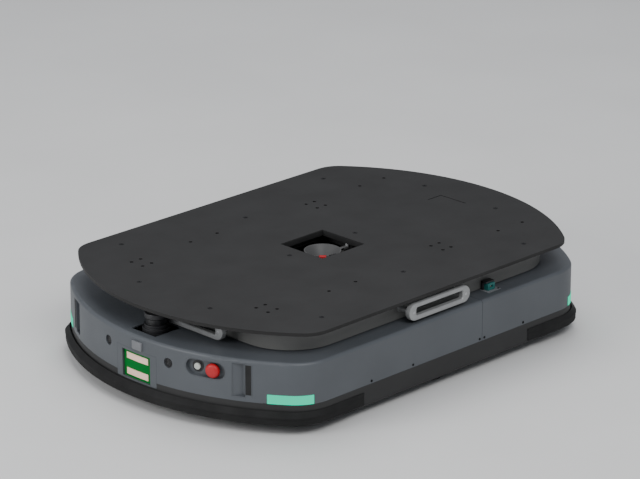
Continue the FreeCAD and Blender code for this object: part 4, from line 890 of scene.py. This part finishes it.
def add_corner_windows():
    """Narrow dark windows beside the scoops, and their thin frames."""
    dark, frames = bmesh.new(), bmesh.new()
    window = strip_section(0.089, 0.160, -0.002, 0.0003)
    upright = strip_section(0.0878, 0.1612, -0.001, 0.0008)
    for side in (-1, 1):
        start, stop, edge = side * WINDOW_START, side * WINDOW_STOP, side * WINDOW_FRAME
        sweep(dark, arc_stations(start, stop, 4, window), -1)
        sweep(frames, arc_stations(stop, stop + edge, 2, upright), -1)
        sweep(frames, arc_stations(start - edge, start, 2, upright), -1)
    piece("corner_window_strips", dark, "chassis", "gloss_black",
          LOOKS["belt_rubber"], ("corner_windows",))
    piece("corner_window_frames", frames, "chassis", "cover_paint")


# ----------------------------------------------------------------------------------------
# Tyres
# ----------------------------------------------------------------------------------------
TYRE_DEPTH = 0.014
GROOVE_SPACING = 0.0115
GROOVE_DEPTH = 0.0028
GROOVE_MOUTH = 0.0016
GROOVE_FLOOR = 0.0010


def add_tyres():
    """Grooved tyres in place of the plain CAD ones."""
    for side in ("left", "right"):
        node = "tyre_" + side
        low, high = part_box(node)
        radius, half = (high[2] - low[2]) / 2, (high[1] - low[1]) / 2
        rim, floor = radius - TYRE_DEPTH, radius - GROOVE_DEPTH
        shoulder = [(rim, half), (radius - 0.004, half), (radius - 0.0015, half - 0.0015),
                    (radius, half - 0.0045)]
        profile = [(reach, -across) for reach, across in shoulder]
        for groove in (-GROOVE_SPACING, 0.0, GROOVE_SPACING):
            profile += [(radius, groove - GROOVE_MOUTH), (floor, groove - GROOVE_FLOOR),
                        (floor, groove + GROOVE_FLOOR), (radius, groove + GROOVE_MOUTH)]
        profile += reversed(shoulder)
        form = bmesh.new()
        rings = lathe(form, profile, frame_at(middle_of(node), (0, 1, 0)), 120)
        join(form, rings[-1], rings[0])
        piece("tread_" + side, form, "drive_wheel_" + side, "tyre_rubber", replaces=(node,))


# ----------------------------------------------------------------------------------------
# Floor, lights and camera
# ----------------------------------------------------------------------------------------
FLOOR_HALF = 14
LIGHT_TARGET = Vector((0, 0, 0.1))
AREA_LIGHTS = (
    ("key", (-1.5, -3.5, 4.0), (3.0, 2.0), 150),
    ("left", (-4.5, 1.0, 2.2), (2.5, 2.0), 110),
    ("top", (1.0, 1.5, 4.5), (4.0, 3.0), 90),
)
SKY_COLOUR = (0.9, 0.93, 1.0, 1)
SKY_STRENGTH = 0.45
CAMERA_PLACE = Vector((-5.2869, -5.2783, 2.9663))
CAMERA_FORWARD = Vector((0.66446, 0.66446, -0.34202))
CAMERA_RIGHT = Vector((0.70711, -0.70711, 0))
CAMERA_LENS = 190.25
CAMERA_REACH = 60


def add_floor():
    """A plain pale studio floor."""
    mesh = bpy.data.meshes.new("floor")
    form = bmesh.new()
    bmesh.ops.create_grid(form, x_segments=1, y_segments=1, size=FLOOR_HALF)
    form.to_mesh(mesh)
    form.free()
    floor = bpy.data.objects.new("floor", mesh)
    bpy.context.collection.objects.link(floor)
    mesh.materials.append(Finish("floor_finish", (0.72, 0.72, 0.71), 0.6).mottled(2, 0.02).material)


def add_lights():
    """Three soft lamps aimed at the robot, and a dim even sky."""
    for name, place, size, power in AREA_LIGHTS:
        light = bpy.data.lights.new(name, "AREA")
        light.shape = "RECTANGLE"
        light.size, light.size_y = size
        light.energy = power
        lamp = bpy.data.objects.new(name, light)
        lamp.location = place
        aim = LIGHT_TARGET - Vector(place)
        lamp.rotation_euler = aim.to_track_quat("-Z", "Y").to_euler()
        bpy.context.collection.objects.link(lamp)
    world = bpy.data.worlds.new("studio")
    world.use_nodes = True
    sky = world.node_tree.nodes["Background"]
    sky.inputs["Color"].default_value = SKY_COLOUR
    sky.inputs["Strength"].default_value = SKY_STRENGTH
    bpy.context.scene.world = world


def add_camera():
    """A long lens that looks down on the front right corner."""
    camera = bpy.data.cameras.new("camera")
    camera.lens = CAMERA_LENS
    camera.sensor_width = 36
    camera.clip_end = CAMERA_REACH
    item = bpy.data.objects.new("camera", camera)
    up = CAMERA_RIGHT.cross(CAMERA_FORWARD)
    turn = Matrix((CAMERA_RIGHT, up, -CAMERA_FORWARD)).transposed()
    item.matrix_world = Matrix.Translation(CAMERA_PLACE) @ turn.to_4x4()
    bpy.context.collection.objects.link(item)
    bpy.context.scene.camera = item


dress_nodes()
add_screw_sockets()
add_handles()
add_sonar_faces()
add_scanners()
add_buttons()
add_contact_details()
add_dock_window()
add_camera_hood()
add_opening_painted_shade()
add_port()
add_bumpers()
add_corner_lights()
add_corner_windows()
add_tyres()
add_pan_screws()
add_floor()
add_lights()
add_camera()
